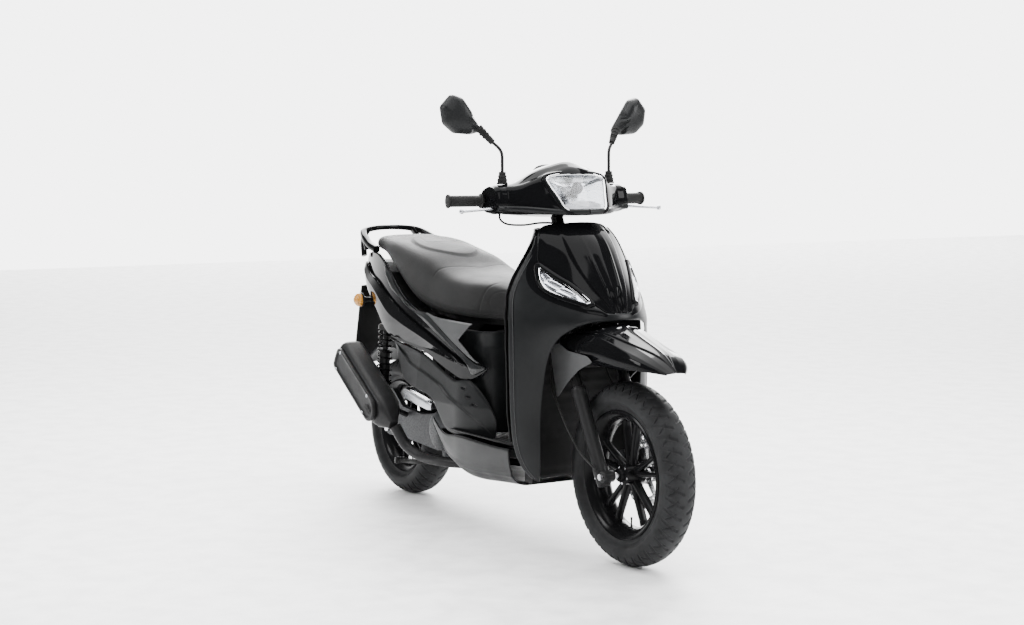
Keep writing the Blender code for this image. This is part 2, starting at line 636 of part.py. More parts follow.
def underseat():
    """The cover below the seat's nose, the storage bucket and the fuel tank."""
    plan = [(-0.100, 0.151), (0.050, 0.151), (0.092, 0.132), (0.112, 0.080), (0.116, 0.0)]
    rows = []
    for z, shrink in ((0.320, 0.0), (0.42, 0.0), (0.52, 0.002), (0.585, 0.012), (0.632, 0.008)):
        half = [(x - shrink, y - shrink * 0.3) for x, y in plan]
        rows.append([(x, -y, z) for x, y in half] + [(x, y, z) for x, y in reversed(half[:-1])])
    thicken(place("underseat_cover", sheet(rows), SATIN), SKIN, 1.0)

    tub = prism(rounded([(-0.335, -0.112), (0.034, -0.112), (0.034, 0.112), (-0.335, 0.112)], 0.03),
                "xy", 0.445, 0.622)
    hollow = prism(rounded([(-0.332, -0.109), (0.031, -0.109), (0.031, 0.109), (-0.332, 0.109)],
                           0.03), "xy", 0.448, 0.70)
    cut(place("storage_bucket", tub, MATTE), hollow)

    tank = prism(rounded([(-0.640, 0.605), (-0.640, 0.690), (-0.560, 0.735), (-0.450, 0.680),
                          (-0.400, 0.640), (-0.400, 0.560), (-0.470, 0.560)], 0.02), "xz",
                 -0.100, 0.100)
    fuse(place("fuel_tank", tank, CASE), rod((-0.56, 0, 0.71), (-0.56, 0, 0.765), 0.025))


def tail():
    """The rear light, the grab rail, the mudguard with the plate holder and the indicators."""
    lamp = prism(rounded([(-0.828, 0.742), (-0.822, 0.798), (-0.790, 0.800), (-0.790, 0.742)], 0.006),
                 "xz", -0.088, 0.088)
    place("tail_light", lamp, RED)

    rail = [(-0.660, 0.142, 0.854), (-0.715, 0.138, 0.866), (-0.775, 0.128, 0.890),
            (-0.818, 0.105, 0.908), (-0.836, 0.055, 0.916), (-0.838, 0.0, 0.918)]
    path = rail + [(x, -y, z) for x, y, z in reversed(rail[:-1])]
    loop = pipe(path, 0.0125, sides=8, count=18)
    foot = rod((-0.775, 0.108, 0.845), (-0.775, 0.120, 0.885), 0.010, sides=10)
    fuse(place("grab_rail", loop, PAINT), foot.copy(), mirrored(foot))
    foot.free()

    rows = []
    for angle in np.radians((62, 78, 94, 110, 126, 138)):
        radius = REAR_TYRE_R + 0.068
        x = REAR_AXLE.x + radius * math.cos(angle)
        z = REAR_AXLE.z + radius * math.sin(angle)
        inward = Vector((math.cos(angle), 0, math.sin(angle))) * 0.030
        half = [(0.084, inward), (0.080, inward * 0.25), (0.055, Vector()), (0.0, Vector())]
        row = [(x - d.x, -y, z - d.z) for y, d in half]
        rows.append(row + [(x - d.x, y, z - d.z) for y, d in reversed(half[:-1])])
    guard = thicken(place("rear_mudguard", sheet(rows), SATIN), 0.004, -1.0)
    top, foot = Vector((PLATE_TOP[0], 0, PLATE_TOP[1])), Vector((PLATE_FOOT[0], 0, PLATE_FOOT[1]))
    down = (foot - top).normalized()
    ahead = Vector((-down.z, 0, down.x))
    back = [top, foot, foot + ahead * 0.006, top + ahead * 0.006]
    holder = prism([(p.x, p.z) for p in back], "xz", -PLATE_HALF_W, PLATE_HALF_W)
    stay = prism([(-0.867, 0.705), (-0.887, 0.620), (-0.790, 0.500), (-0.700, 0.534),
                  (-0.690, 0.545), (-0.735, 0.640), (-0.750, 0.705)], "xz", -0.030, 0.030)
    arm = rod((-0.765, -0.128, 0.672), (-0.765, 0.128, 0.672), 0.008, sides=10)
    fuse(guard, stay, holder, arm)

    for side, name in ((1, "rear_indicator_left"), (-1, "rear_indicator_right")):
        root = Vector((-0.765, side * (0.128 + GAP), 0.672))
        out = Vector((0, side, 0))
        profile = [(0, 0), (0.010, 0), (0.012, 0.012), (0.024, 0.016), (0.026, 0.024),
                   (0.022, 0.036), (0.012, 0.044), (0, 0.046)]
        place(name, turned(profile, root, out, steps=16), AMBER)


# ------------------------------------------------------------------ frame
RAIL_Y = 0.130
RAIL_R = 0.0105


def main_frame():
    """The welded tubes: head tube, down tube, floor rails, seat rails and brackets."""
    low, high = on_steer(HEAD_TUBE_LOW), on_steer(HEAD_TUBE_HIGH)
    head = turned([(STEM_R + RUNNING, 0), (HEAD_TUBE_R + 0.004, 0), (HEAD_TUBE_R + 0.004, 0.016),
                   (HEAD_TUBE_R, 0.020), (HEAD_TUBE_R, HEAD_TUBE_HIGH - HEAD_TUBE_LOW - 0.020),
                   (HEAD_TUBE_R + 0.004, HEAD_TUBE_HIGH - HEAD_TUBE_LOW - 0.016),
                   (HEAD_TUBE_R + 0.004, HEAD_TUBE_HIGH - HEAD_TUBE_LOW),
                   (STEM_R + RUNNING, HEAD_TUBE_HIGH - HEAD_TUBE_LOW)],
                  low, high - low, steps=16, ring=True)
    frame = place("main_frame", head, FRAME)
    start = on_steer(0.620, -HEAD_TUBE_R + 0.004)
    down = pipe([start, (0.325, 0, 0.720), (0.311, 0, 0.600), (0.313, 0, 0.450), (0.323, 0, 0.340),
                 (0.290, 0, 0.262), (0.235, 0, 0.236), (0.190, 0, 0.232)], 0.0175, sides=8, count=10)
    rail = [(0.205, 0.060, 0.232), (0.160, 0.090, 0.232), (0.000, 0.095, 0.232),
            (-0.085, 0.100, 0.240), (-0.150, 0.122, 0.300), (-0.190, RAIL_Y, 0.400),
            (-0.235, RAIL_Y, 0.520), (-0.330, RAIL_Y, 0.592), (-0.480, 0.127, 0.640),
            (-0.640, 0.113, 0.690), (-0.755, 0.090, 0.738)]
    left = pipe(rail, RAIL_R, sides=6, count=16)
    front_cross = rod((0.200, -0.075, 0.232), (0.200, 0.075, 0.232), 0.014, sides=8)
    hanger = rod((PIVOT[0], -0.118, PIVOT[2]), (PIVOT[0], 0.118, PIVOT[2]), PIVOT_R, sides=12)
    tabs = []
    for side in (1, -1):
        tabs.append(block((-0.1885, side * 0.1215, PIVOT[2] - 0.002), (0.048, 0.012, 0.030)))
        strap = [(-0.179, 0.362), (-0.185, 0.392), (PEG_PIVOT[0] - 0.010, 0.404),
                 (PEG_PIVOT[0] - 0.010, 0.380), (PEG_PIVOT[0] + 0.03, 0.374)]
        tabs.append(prism(strap, "xz", side * 0.1265, side * 0.1345))
        tabs.append(block((PEG_PIVOT[0], side * 0.1315, 0.3960), (0.026, 0.013, 0.0450)))
        for z in (0.3755, 0.4165):
            tabs.append(block((PEG_PIVOT[0], side * 0.1675, z), (0.023, 0.073, 0.0040)))
        tabs.append(rod((PEG_PIVOT[0], side * PEG_PIVOT[1], 0.3745),
                        (PEG_PIVOT[0], side * PEG_PIVOT[1], 0.4177), 0.004, sides=8))
    rear_cross = rod((-0.700, -0.105, 0.714), (-0.700, 0.105, 0.714), 0.009, sides=8)
    tabs.append(prism([(-0.625, 0.690), (-0.622, 0.622), (-0.600, 0.608), (-0.578, 0.622),
                       (-0.575, 0.675)], "xz", -0.113, -0.107))
    shock_bolt = rod((SHOCK_TOP[0], -0.108, SHOCK_TOP[2]), (SHOCK_TOP[0], -0.150, SHOCK_TOP[2]),
                     SHOCK_PIN_R, sides=10)
    x, _, z = SEAT_HINGE
    seat_pin = rod((x, -0.034, z), (x, 0.034, z), 0.0035, sides=8)
    arch_half = [(-0.222, RAIL_Y, 0.490), (-0.120, 0.129, 0.575), (0.000, 0.126, 0.606),
                 (0.054, 0.100, 0.624), (0.076, 0.048, 0.630), (0.078, 0.0, 0.631)]
    arch = pipe(arch_half + [(x, -y, z) for x, y, z in reversed(arch_half[:-1])], 0.0070, sides=6,
                count=13)
    for side in (1, -1):
        outline = [(0.070, 0.625), (0.102, 0.6320), (x + 0.006, z - 0.007), (x + 0.006, z + 0.005),
                   (x - 0.006, z + 0.005), (0.104, 0.6460), (0.070, 0.635)]
        tabs.append(prism(outline, "xz", side * 0.024, side * 0.034))
    fuse(frame, down, front_cross, left.copy(), mirrored(left), hanger, rear_cross, arch,
         *tabs, shock_bolt, seat_pin)
    cut(frame, rod(low - STEER_UP * 0.01, high + STEER_UP * 0.01, STEM_R + RUNNING, sides=16))
    left.free()


# ------------------------------------------------------------------ steering
def fork():
    """The stem, yoke and upper tubes, and the two sliding legs with the axle."""
    steering = on_steer(HEAD_TUBE_LOW)
    stem = place("fork_upper", rod(on_steer(YOKE_HIGH - 0.01), on_steer(0.800), STEM_R, sides=16),
                 FRAME, steering)
    turn = standing(STEER_UP)
    yoke = block(on_steer((YOKE_LOW + YOKE_HIGH) / 2), (YOKE_AHEAD, 2 * YOKE_HALF,
                                                        YOKE_HIGH - YOKE_LOW), turn)
    tubes = [rod(on_steer(STANCHION_FOOT, 0, s * LEG_Y), on_steer(YOKE_HIGH - 0.004, 0, s * LEG_Y),
                 STANCHION_R, sides=12) for s in (1, -1)]
    crown = rod(on_steer(YOKE_HIGH - 0.004), on_steer(HEAD_TUBE_LOW - 0.002), 0.019, sides=16)
    fuse(stem, yoke, *tubes, crown)

    for side, name in ((1, "fork_leg_left"), (-1, "fork_leg_right")):
        y = side * LEG_Y
        leg = turned([(0, 0), (LEG_R - 0.003, 0), (LEG_R, 0.006), (LEG_R, LEG_TOP + 0.020),
                      (STANCHION_R + RUNNING, LEG_TOP + 0.020),
                      (STANCHION_R + RUNNING, LEG_BORE_FOOT + 0.020), (0, LEG_BORE_FOOT + 0.020)],
                     on_steer(-0.020, 0, y), STEER_UP, steps=14)
        made = place(name, leg, FRAME, FRONT_AXLE)
        boss = rod(FRONT_AXLE + Y_AXIS * (y - AXLE_BOSS), FRONT_AXLE + Y_AXIS * (y + AXLE_BOSS), 0.017,
                   sides=16)
        extra = [boss]
        if side > 0:
            extra.append(block(on_steer(0.060, -0.0295, side * 0.0835), (0.024, 0.020, 0.075), turn))
        fuse(made, *extra)
        cut(made, rod(FRONT_AXLE + Y_AXIS * (y - 0.03), FRONT_AXLE + Y_AXIS * (y + 0.03),
                      AXLE_R + GAP, sides=16))
    nut_y = LEG_Y + AXLE_BOSS + GAP
    axle = rod(FRONT_AXLE - Y_AXIS * (nut_y + 0.010), FRONT_AXLE + Y_AXIS * (nut_y + 0.010), AXLE_R)
    nuts = [rod(FRONT_AXLE + Y_AXIS * s * nut_y, FRONT_AXLE + Y_AXIS * s * (nut_y + 0.008), 0.0095,
                sides=6) for s in (1, -1)]
    spacer_y = LEG_Y - AXLE_BOSS - GAP
    spacers = [rod(FRONT_AXLE + Y_AXIS * s * 0.0530, FRONT_AXLE + Y_AXIS * s * spacer_y, 0.009)
               for s in (1, -1)]
    fuse(place("front_axle", axle, STEEL, FRONT_AXLE), *nuts, *spacers)


def caliper():
    """The brake caliper, which straddles the disc behind the left leg."""
    centre = on_steer(0.062, -0.068)
    turn = standing(STEER_UP)
    body = block(centre + Y_AXIS * 0.064, (0.052, 0.056, 0.070), turn)
    made = place("brake_caliper", body, ALLOY, FRONT_AXLE)
    slot = block(centre + Vector((0.020, DISC_Y, -0.010)), (0.080, DISC_T + 0.003, 0.090), turn)
    cut(made, slot)
    bevel = made.modifiers.new("edges", "BEVEL")
    bevel.width = 0.003
    bevel.segments = 1
    return made


def bar_point(y):
    """The handlebar's centre line at a distance from the middle."""
    share = (abs(y) - BAR_KNEE_Y) / (BAR_TIP_Y - BAR_KNEE_Y)
    return Vector((BAR_KNEE_X + (BAR_TIP_X - BAR_KNEE_X) * share, y, BAR_Z))


def handlebar():
    """The bar with its clamp, the grips, the levers with their perches and two buttons."""
    steering = on_steer(HEAD_TUBE_LOW)
    half = [bar_point(BAR_TIP_Y), bar_point(0.285), bar_point(0.215), bar_point(BAR_KNEE_Y),
            Vector((0.2375, 0.125, 1.0375)), Vector((0.243, 0.045, 1.030))]
    path = half + [Vector((p.x, -p.y, p.z)) for p in reversed(half)]
    bar = place("handlebar", pipe(path, BAR_R, sides=10, count=15), FRAME, steering)
    fuse(bar, rod(on_steer(HEAD_TUBE_HIGH + 0.006), on_steer(0.872), 0.019, sides=20))
    cut(bar, rod(on_steer(HEAD_TUBE_HIGH - 0.02), on_steer(0.801), STEM_R + GAP * 2, sides=16))

    for side, name in ((1, "grip_left"), (-1, "throttle_grip")):
        start, end = bar_point(side * GRIP_START_Y), bar_point(side * GRIP_END_Y)
        long = (end - start).length
        bore = (bar_point(side * BAR_TIP_Y) - start).length + GAP
        free = BAR_R + (2 * RUNNING if side < 0 else 3 * GAP)
        profile = [(0, bore), (free, bore), (free, 0), (GRIP_FLANGE_R, 0), (GRIP_FLANGE_R, 0.004),
                   (GRIP_R, 0.007), (GRIP_R - 0.001, long * 0.5), (GRIP_R, long - 0.010),
                   (GRIP_R + 0.002, long - 0.006), (GRIP_R, long), (0, long)]
        place(name, turned(profile, start, end - start, steps=14), RUBBER, start)

    for side, hand in ((1, "left"), (-1, "right")):
        px, py, pz = LEVER_PIVOT
        pivot = Vector((px, side * py, pz))
        inner, outer = bar_point(side * 0.176), bar_point(side * 0.214)
        clamp = rod(inner, outer, 0.0185, sides=16)
        perch = place(f"brake_perch_{hand}", clamp, FRAME, steering)
        reach = prism([(0.232, 0.182), (0.252, 0.182), (px + 0.011, py - 0.008), (px + 0.011, py + 0.007),
                       (px - 0.008, py + 0.007), (0.232, 0.205)], "xy", pz - 0.011, pz + 0.011)
        boss = rod((MIRROR_FOOT[0], MIRROR_FOOT[1], pz), (MIRROR_FOOT[0], MIRROR_FOOT[1], 1.062), 0.011)
        tank = prism([(0.236, 0.176), (MIRROR_FOOT[0] + 0.008, 0.180), (MIRROR_FOOT[0] + 0.008, 0.196),
                      (0.236, 0.198)], "xy", 1.02, 1.058)
        if side < 0:
            reach, boss, tank = mirrored(reach), mirrored(boss), mirrored(tank)
        fuse(perch, reach, boss, tank)
        fork_slot = block(pivot + Vector((0.006, side * 0.005, 0)), (0.034, 0.030, 0.0094))
        button = Vector((BUTTON_X, side * BUTTON_Y, BAR_Z - 0.001))
        pocket = rod(button - Vector((0.010, 0, 0)), button + Vector((BUTTON_TRAVEL + GAP * 2, 0, 0)),
                     BUTTON_R + GAP, sides=12)
        cut(perch, rod(bar_point(side * 0.16), bar_point(side * 0.23), BAR_R + 3 * GAP, sides=16),
            rod((MIRROR_FOOT[0], side * MIRROR_FOOT[1], 1.040),
                (MIRROR_FOOT[0], side * MIRROR_FOOT[1], 1.08), MIRROR_ROD_R + GAP, sides=12),
            fork_slot, pocket)
        lever(side, hand, pivot)

    for side, name in ((-1, "starter_button"), (1, "horn_button")):
        root = Vector((BUTTON_X, side * BUTTON_Y, BAR_Z - 0.001))
        place(name, rod(root, root + Vector((-0.020, 0, 0)), BUTTON_R, sides=12), RUBBER, root)


def lever(side, hand, pivot):
    """One brake lever: a flat blade with a slight sweep and a ball at its tip."""
    tip = Vector((LEVER_TIP[0], side * LEVER_TIP[1], LEVER_TIP[2]))
    out = tip - pivot
    spread = Vector((1, 0, 0))
    rings = []
    for share, bow, wide, tall in ((0.0, 0.0, 0.0065, 0.0042), (0.10, 0.0035, 0.0075, 0.0042),
                                   (0.25, 0.009, 0.0070, 0.0052), (0.50, 0.010, 0.0055, 0.0056),
                                   (0.75, 0.005, 0.0045, 0.0056), (0.97, 0.0, 0.0040, 0.0045)):
        centre = pivot + out * share + spread * bow
        rings.append([centre + spread * (wide * math.cos(a)) + Vector((0, 0, tall * math.sin(a)))
                      for a in np.linspace(0, math.tau, 6, endpoint=False)])
    made = place(f"brake_lever_{hand}", loft(rings), ALLOY, pivot)
    fuse(made, ball(tip, 0.0075, 8), rod(pivot - Vector((0, 0, 0.0042)), pivot + Vector((0, 0, 0.0042)),
                                      0.0085, sides=10))


def handlebar_cover():
    """The shell round the handlebar with the headlight and the instruments set into it."""
    steering = on_steer(HEAD_TUBE_LOW)
    middle = [(0.310, 1.158), (0.345, 1.147), (0.376, 1.126), (0.412, 1.066), (0.442, 1.016),
              (0.428, 1.003), (0.370, 0.997), (0.295, 0.991), (0.225, 0.994), (0.192, 1.022),
              (0.196, 1.070), (0.230, 1.120), (0.270, 1.148)]
    quarter = [(0.306, 1.148), (0.342, 1.138), (0.372, 1.120), (0.405, 1.064), (0.433, 1.016),
               (0.420, 1.003), (0.362, 0.997), (0.292, 0.991), (0.224, 0.994), (0.191, 1.022),
               (0.195, 1.066), (0.227, 1.113), (0.266, 1.140)]
    lamp_edge = [(0.298, 1.128), (0.332, 1.119), (0.360, 1.107), (0.384, 1.060), (0.404, 1.018),
                 (0.394, 1.005), (0.340, 0.998), (0.282, 0.993), (0.222, 0.997), (0.190, 1.022),
                 (0.193, 1.060), (0.220, 1.100), (0.260, 1.122)]
    arm = [(0.280, 1.097), (0.306, 1.092), (0.326, 1.084), (0.342, 1.055), (0.350, 1.024),
           (0.340, 1.008), (0.310, 1.000), (0.270, 0.997), (0.225, 1.001), (0.196, 1.020),
           (0.195, 1.050), (0.214, 1.080), (0.250, 1.093)]
    tip = [(0.262, 1.088), (0.284, 1.084), (0.298, 1.074), (0.306, 1.050), (0.306, 1.026),
           (0.297, 1.010), (0.276, 1.003), (0.250, 1.001), (0.222, 1.009), (0.204, 1.026),
           (0.203, 1.050), (0.216, 1.072), (0.240, 1.083)]
    stations = [(0.234, tip), (0.196, tip), (0.152, arm), (0.100, lamp_edge), (0.050, quarter),
                (0.0, middle)]
    rows = [[(x, -y, z) for x, z in profile + profile[:1]] for y, profile in stations]
    rows += [[(x, y, z) for x, z in profile + profile[:1]] for y, profile in reversed(stations[:-1])]
    bm = sheet(rows)
    bmesh.ops.remove_doubles(bm, verts=bm.verts[:], dist=1e-6)
    bmesh.ops.recalc_face_normals(bm, faces=bm.faces[:])
    cover = thicken(place("handlebar_cover", bm, PAINT, steering), 0.003, -1.0)

    half_lamp = [(0.060, 1.119), (0.092, 1.112), (0.101, 1.103), (0.095, 1.080), (0.084, 1.055),
                 (0.074, 1.022), (0.060, 1.011)]
    lamp = both_sides(half_lamp, (0.0, 1.121), (0.0, 1.009))
    cut(cover, prism(lamp, "yz", 0.330, 0.480),
        rod(on_steer(0.78), on_steer(0.85), 0.030, sides=20),
        block(DIAL_CENTRE, (DIAL_SIZE[0] + 0.026, DIAL_SIZE[1] + 0.003, 0.062), standing(DIAL_UP)),
        *[rod((MIRROR_FOOT[0], s * MIRROR_FOOT[1], 1.060), (MIRROR_FOOT[0], s * MIRROR_FOOT[1], 1.11),
              MIRROR_ROD_R + 0.003, sides=14) for s in (1, -1)],
        *[rod((0.230, s * 0.196, BAR_Z - 0.001), (0.180, s * 0.196, BAR_Z - 0.001), 0.0065, sides=12)
          for s in (1, -1)],
        rod((0.238, -0.185, 1.012), (0.238, -0.185, 0.985), 0.0055, sides=12))

    def face_x(y, z):
        return 0.377 + 0.62 * (1.105 - z) - 1.6 * y * y

    glass = draped(inset(lamp, 0.0010), [-0.07, -0.035, 0.0, 0.035, 0.07], [1.03, 1.055, 1.08, 1.10],
                   lambda y, z: (face_x(y, z), y, z), (-0.045, 0, 0))
    place("headlight", glass, CLEAR, steering)
    dial = block(DIAL_CENTRE, DIAL_SIZE, standing(DIAL_UP))
    place("instrument_panel", dial, MATTE, steering)


def mirrors():
    """The stems, the housings that turn on their balls and the glass."""
    steering = on_steer(HEAD_TUBE_LOW)
    fx, fy = MIRROR_FOOT
    ball_at = Vector(MIRROR_BALL)
    neck = (ball_at - Vector((fx, fy, MIRROR_BEND_Z))).normalized()
    stem_path = [(fx, fy, 1.0405), (fx, fy, 1.110), (fx, fy, 1.165), Vector((fx, fy, MIRROR_BEND_Z))
                 + neck * 0.010, ball_at]
    stem = pipe(stem_path, MIRROR_ROD_R, sides=6, count=10)
    boot = turned([(0, 0), (0.0125, 0), (0.0115, 0.004), (0.0085, 0.030), (0.0, 0.034)],
                  (fx, fy, 1.0925), (0, 0, 1), steps=10)
    outline = [(0.232, 1.246), (0.240, 1.262), (0.300, 1.346), (0.330, 1.355), (0.364, 1.318),
               (0.356, 1.268), (0.322, 1.240), (0.270, 1.236)]
    back = rounded(outline, 0.014, 1)
    centre = Vector((0.295, 1.292))
    face_x = 0.198
    rings = []
    for depth, shrink in ((0.0, 1.0), (0.012, 0.99), (0.026, 0.86), (0.036, 0.62), (0.040, 0.30)):
        rings.append([(face_x + depth + 0.10 * (0.30 - y),
                       centre.x + (y - centre.x) * shrink, centre.y + (z - centre.y) * shrink)
                      for y, z in back])
    shell = loft(rings)
    socket_end = ball_at + neck * 0.030
    collar = rod(ball_at - neck * 0.012, socket_end + neck * 0.012, 0.0115, 0.016, sides=16)
    pocket = loft([[(face_x - 0.02 + 0.10 * (0.30 - y), y, z) for y, z in inset(back, 0.004)],
                   [(face_x + 0.005 + 0.10 * (0.30 - y), y, z) for y, z in inset(back, 0.004)]])
    glass = loft([[(face_x + 0.0015 + 0.10 * (0.30 - y), y, z) for y, z in inset(back, 0.0045)],
                  [(face_x + 0.005 - GAP + 0.10 * (0.30 - y), y, z) for y, z in inset(back, 0.0045)]])
    entry = rod(ball_at - neck * 0.05, ball_at, MIRROR_ROD_R + 0.0012, sides=12)
    socket = ball(ball_at, MIRROR_BALL_R + 0.0008)
    for side, hand in ((1, "left"), (-1, "right")):
        def on_side(bm, left=side > 0):
            return bm.copy() if left else mirrored(bm)

        pivot = Vector((ball_at.x, side * ball_at.y, ball_at.z))
        post = place(f"mirror_stem_{hand}", on_side(stem), FRAME, steering)
        fuse(post, on_side(boot), ball(pivot, MIRROR_BALL_R))
        housing = place(f"mirror_shell_{hand}", on_side(shell), MATTE, pivot)
        fuse(housing, on_side(collar))
        cut(housing, on_side(pocket), on_side(socket), on_side(entry), solver="MANIFOLD")
        place(f"mirror_glass_{hand}", on_side(glass), MIRROR, pivot)


def front_mudguard():
    """The mudguard on the yoke: a crested blade over the tyre with two rear cheeks."""
    steering = on_steer(HEAD_TUBE_LOW)
    stations = (     # x and z of the crest, half width, then the drop to the edge
        (0.458, 0.669, 0.111, 0.080),
        (0.500, 0.683, 0.113, 0.098),
        (0.560, 0.689, 0.110, 0.104),
        (0.620, 0.686, 0.104, 0.100),
        (0.680, 0.670, 0.098, 0.086),
        (0.740, 0.650, 0.092, 0.066),
        (0.800, 0.630, 0.084, 0.044),
        (0.845, 0.608, 0.066, 0.024),
        (0.878, 0.584, 0.034, 0.006),
    )
    profile = [(1.0, 1.0), (0.985, 0.55), (0.82, 0.22), (0.50, 0.06), (0.0, 0.0)]
    rows = []
    for x, z, half, drop in stations:
        row = [(x, -half * s, z - drop * d) for s, d in profile]
        rows.append(row + [(x, half * s, z - drop * d) for s, d in reversed(profile[:-1])])
    guard = thicken(place("front_mudguard", sheet(rows), PAINT, steering), 0.0035, -1.0)
    cheek = prism([(0.405, 0.612), (0.436, 0.500), (0.444, 0.468), (0.500, 0.520), (0.560, 0.562),
                   (0.620, 0.584), (0.600, 0.605), (0.500, 0.612), (0.450, 0.630)], "xz", 0.1090, 0.1128)
    lug = prism([(0.440, 0.602), (0.452, 0.588), (0.500, 0.596), (0.520, 0.612), (0.470, 0.622)],
                "xz", 0.040, 0.1110)
    fuse(guard, cheek.copy(), mirrored(cheek), lug.copy(), mirrored(lug))
    cut(guard, block(on_steer((YOKE_LOW + YOKE_HIGH) / 2), (YOKE_AHEAD + 2 * GAP, 2 * YOKE_HALF + 2 * GAP,
                                                            YOKE_HIGH - YOKE_LOW + 2 * GAP),
                     standing(STEER_UP)))
    cheek.free()
    lug.free()


def cables():
    """The brake hose from the right perch to the caliper, and the speedometer cable."""
    hose = [(0.238, -0.185, 1.0085), (0.240, -0.184, 0.985), (0.252, -0.165, 0.9705),
            (0.272, -0.120, 0.9680), (0.292, -0.070, 0.9740), on_steer(0.785, 0.037, -0.028),
            on_steer(0.740, 0.039, 0.002), on_steer(0.660, 0.038, 0.014), on_steer(0.570, 0.036, 0.022),
            on_steer(0.490, 0.014, 0.040), (0.412, 0.060, 0.632), (0.398, 0.084, 0.560),
            (0.415, 0.100, 0.500), (0.462, 0.116, 0.440), (0.518, 0.116, 0.385), (0.549, 0.092, 0.348),
            (0.553, 0.084, 0.338)]
    cord("brake_hose", hose, 0.0032, RUBBER, 46)
    dial_back = Vector(DIAL_CENTRE) - DIAL_UP * (DIAL_SIZE[2] / 2 + GAP)
    speedo = [(0.652, -0.1135, 0.285), (0.630, -0.119, 0.300), (0.580, -0.124, 0.330),
              (0.520, -0.124, 0.385), (0.462, -0.1215, 0.450), (0.434, -0.1205, 0.488),
              (0.404, -0.104, 0.540), (0.398, -0.080, 0.585), (0.408, -0.062, 0.632),
              on_steer(0.490, 0.014, -0.042), on_steer(0.570, 0.034, -0.026),
              on_steer(0.660, 0.038, -0.018), on_steer(0.735, 0.034, -0.016),
              on_steer(0.790, 0.0195, -0.015), on_steer(0.850, 0.0195, -0.015),
              (0.262, -0.015, 1.050), (0.238, -0.015, 1.085), dial_back - Y_AXIS * 0.015]
    cord("speedo_cable", speedo, 0.0028, RUBBER, 44)


# ------------------------------------------------------------------ wheels
def tyre(name, axle, radius, width, bead_r):
    """A tyre: a ring with a round crown, full shoulders and beads on the rim's flanges."""
    half = width / 2
    outer = [(bead_r - 0.010, 0.66 * half), (bead_r + 0.004, 0.78 * half),
             (radius - 0.50 * (radius - bead_r), half), (radius - 0.020, 0.82 * half),
             (radius - 0.004, 0.40 * half), (radius, 0.0)]
    hollow = [(bead_r - 0.010, -0.50 * half), (bead_r + 0.35 * (radius - bead_r), -0.60 * half),
              (bead_r + 0.35 * (radius - bead_r), 0.60 * half), (bead_r - 0.010, 0.50 * half)]
    ring = outer + [(r, -y) for r, y in reversed(outer[:-1])]
    bm = turned(ring + hollow, axle, Y_AXIS, steps=TURN_STEPS, ring=True)
    return place(name, bm, TYRE, axle)


def rim(name, axle, bead_r, width, hub_half, bore):
    """A cast wheel: a rim well, a hub and five forked spokes."""
    seat = bead_r - 0.010 - GAP
    well = [(seat, 0.66 * width / 2 - 0.001), (seat - 0.012, 0.30 * width / 2), (seat - 0.012, 0.0)]
    inside = [(seat - 0.012 - RIM_WALL, 0.0), (seat - 0.012 - RIM_WALL, 0.25 * width / 2),
              (seat - 0.010, 0.72 * width / 2), (seat - 0.004, 0.80 * width / 2),
              (seat, 0.80 * width / 2)]
    ring = inside[::-1] + [(r, -y) for r, y in inside[1:]] + [(r, -y) for r, y in well] + well[-2::-1]
    bm = turned(ring, axle, Y_AXIS, steps=TURN_STEPS, ring=True)
    made = place(name, bm, WHEEL, axle)
    hub = turned([(bore, -hub_half), (HUB_R * 0.8, -hub_half), (HUB_R, -hub_half + 0.010),
                  (HUB_R, hub_half - 0.010), (HUB_R * 0.8, hub_half), (bore, hub_half)], axle, Y_AXIS,
                 steps=20, ring=True)
    spokes = []
    end_r = seat - 0.012 - RIM_WALL + 0.004
    for i in range(5):
        for fork_side in (1, -1):
            spread = math.radians(11)
            a = math.tau * i / 5 + math.pi / 2
            start = Vector((math.cos(a + fork_side * 0.20), 0, math.sin(a + fork_side * 0.20)))
            end = Vector((math.cos(a + fork_side * spread), 0, math.sin(a + fork_side * spread)))
            p, q = axle + start * (HUB_R - 0.006), axle + end * end_r
            beam = block((p + q) / 2, (0.013, 0.034, (q - p).length), standing(q - p))
            spokes.append(beam)
    fuse(made, hub, *spokes)
    return made


def wheels():
    """Both wheels and the brake disc."""
    tyre("front_tyre", FRONT_AXLE, FRONT_TYRE_R, FRONT_TYRE_W, FRONT_FLANGE_R)
    rim("front_rim", FRONT_AXLE, FRONT_FLANGE_R, FRONT_TYRE_W, 0.0475, AXLE_R + RUNNING)
    tyre("rear_tyre", REAR_AXLE, REAR_TYRE_R, REAR_TYRE_W, REAR_FLANGE_R)
    rim("rear_rim", REAR_AXLE, REAR_FLANGE_R, REAR_TYRE_W, 0.0600, 0.0085 + RUNNING)

    wave = [(DISC_R - 0.004 + 0.004 * math.cos(10 * a)) for a in np.linspace(0, math.tau, 40, False)]
    outline = [(FRONT_AXLE.x + r * math.cos(a), FRONT_AXLE.z + r * math.sin(a))
               for r, a in zip(wave, np.linspace(0, math.tau, 40, False))]
    disc = place("brake_disc", prism(outline, "xz", DISC_Y - DISC_T / 2, DISC_Y + DISC_T / 2), STEEL,
                 FRONT_AXLE)
    holes = [rod(FRONT_AXLE - Y_AXIS, FRONT_AXLE + Y_AXIS, AXLE_R + 0.004, sides=20)]
    for i in range(5):
        a = math.tau * (i + 0.5) / 5
        spot = FRONT_AXLE + Vector((math.cos(a), 0, math.sin(a))) * 0.058
        holes.append(rod(spot - Y_AXIS * 0.1, spot + Y_AXIS * 0.1, 0.020, sides=8))
    cut(disc, *holes)


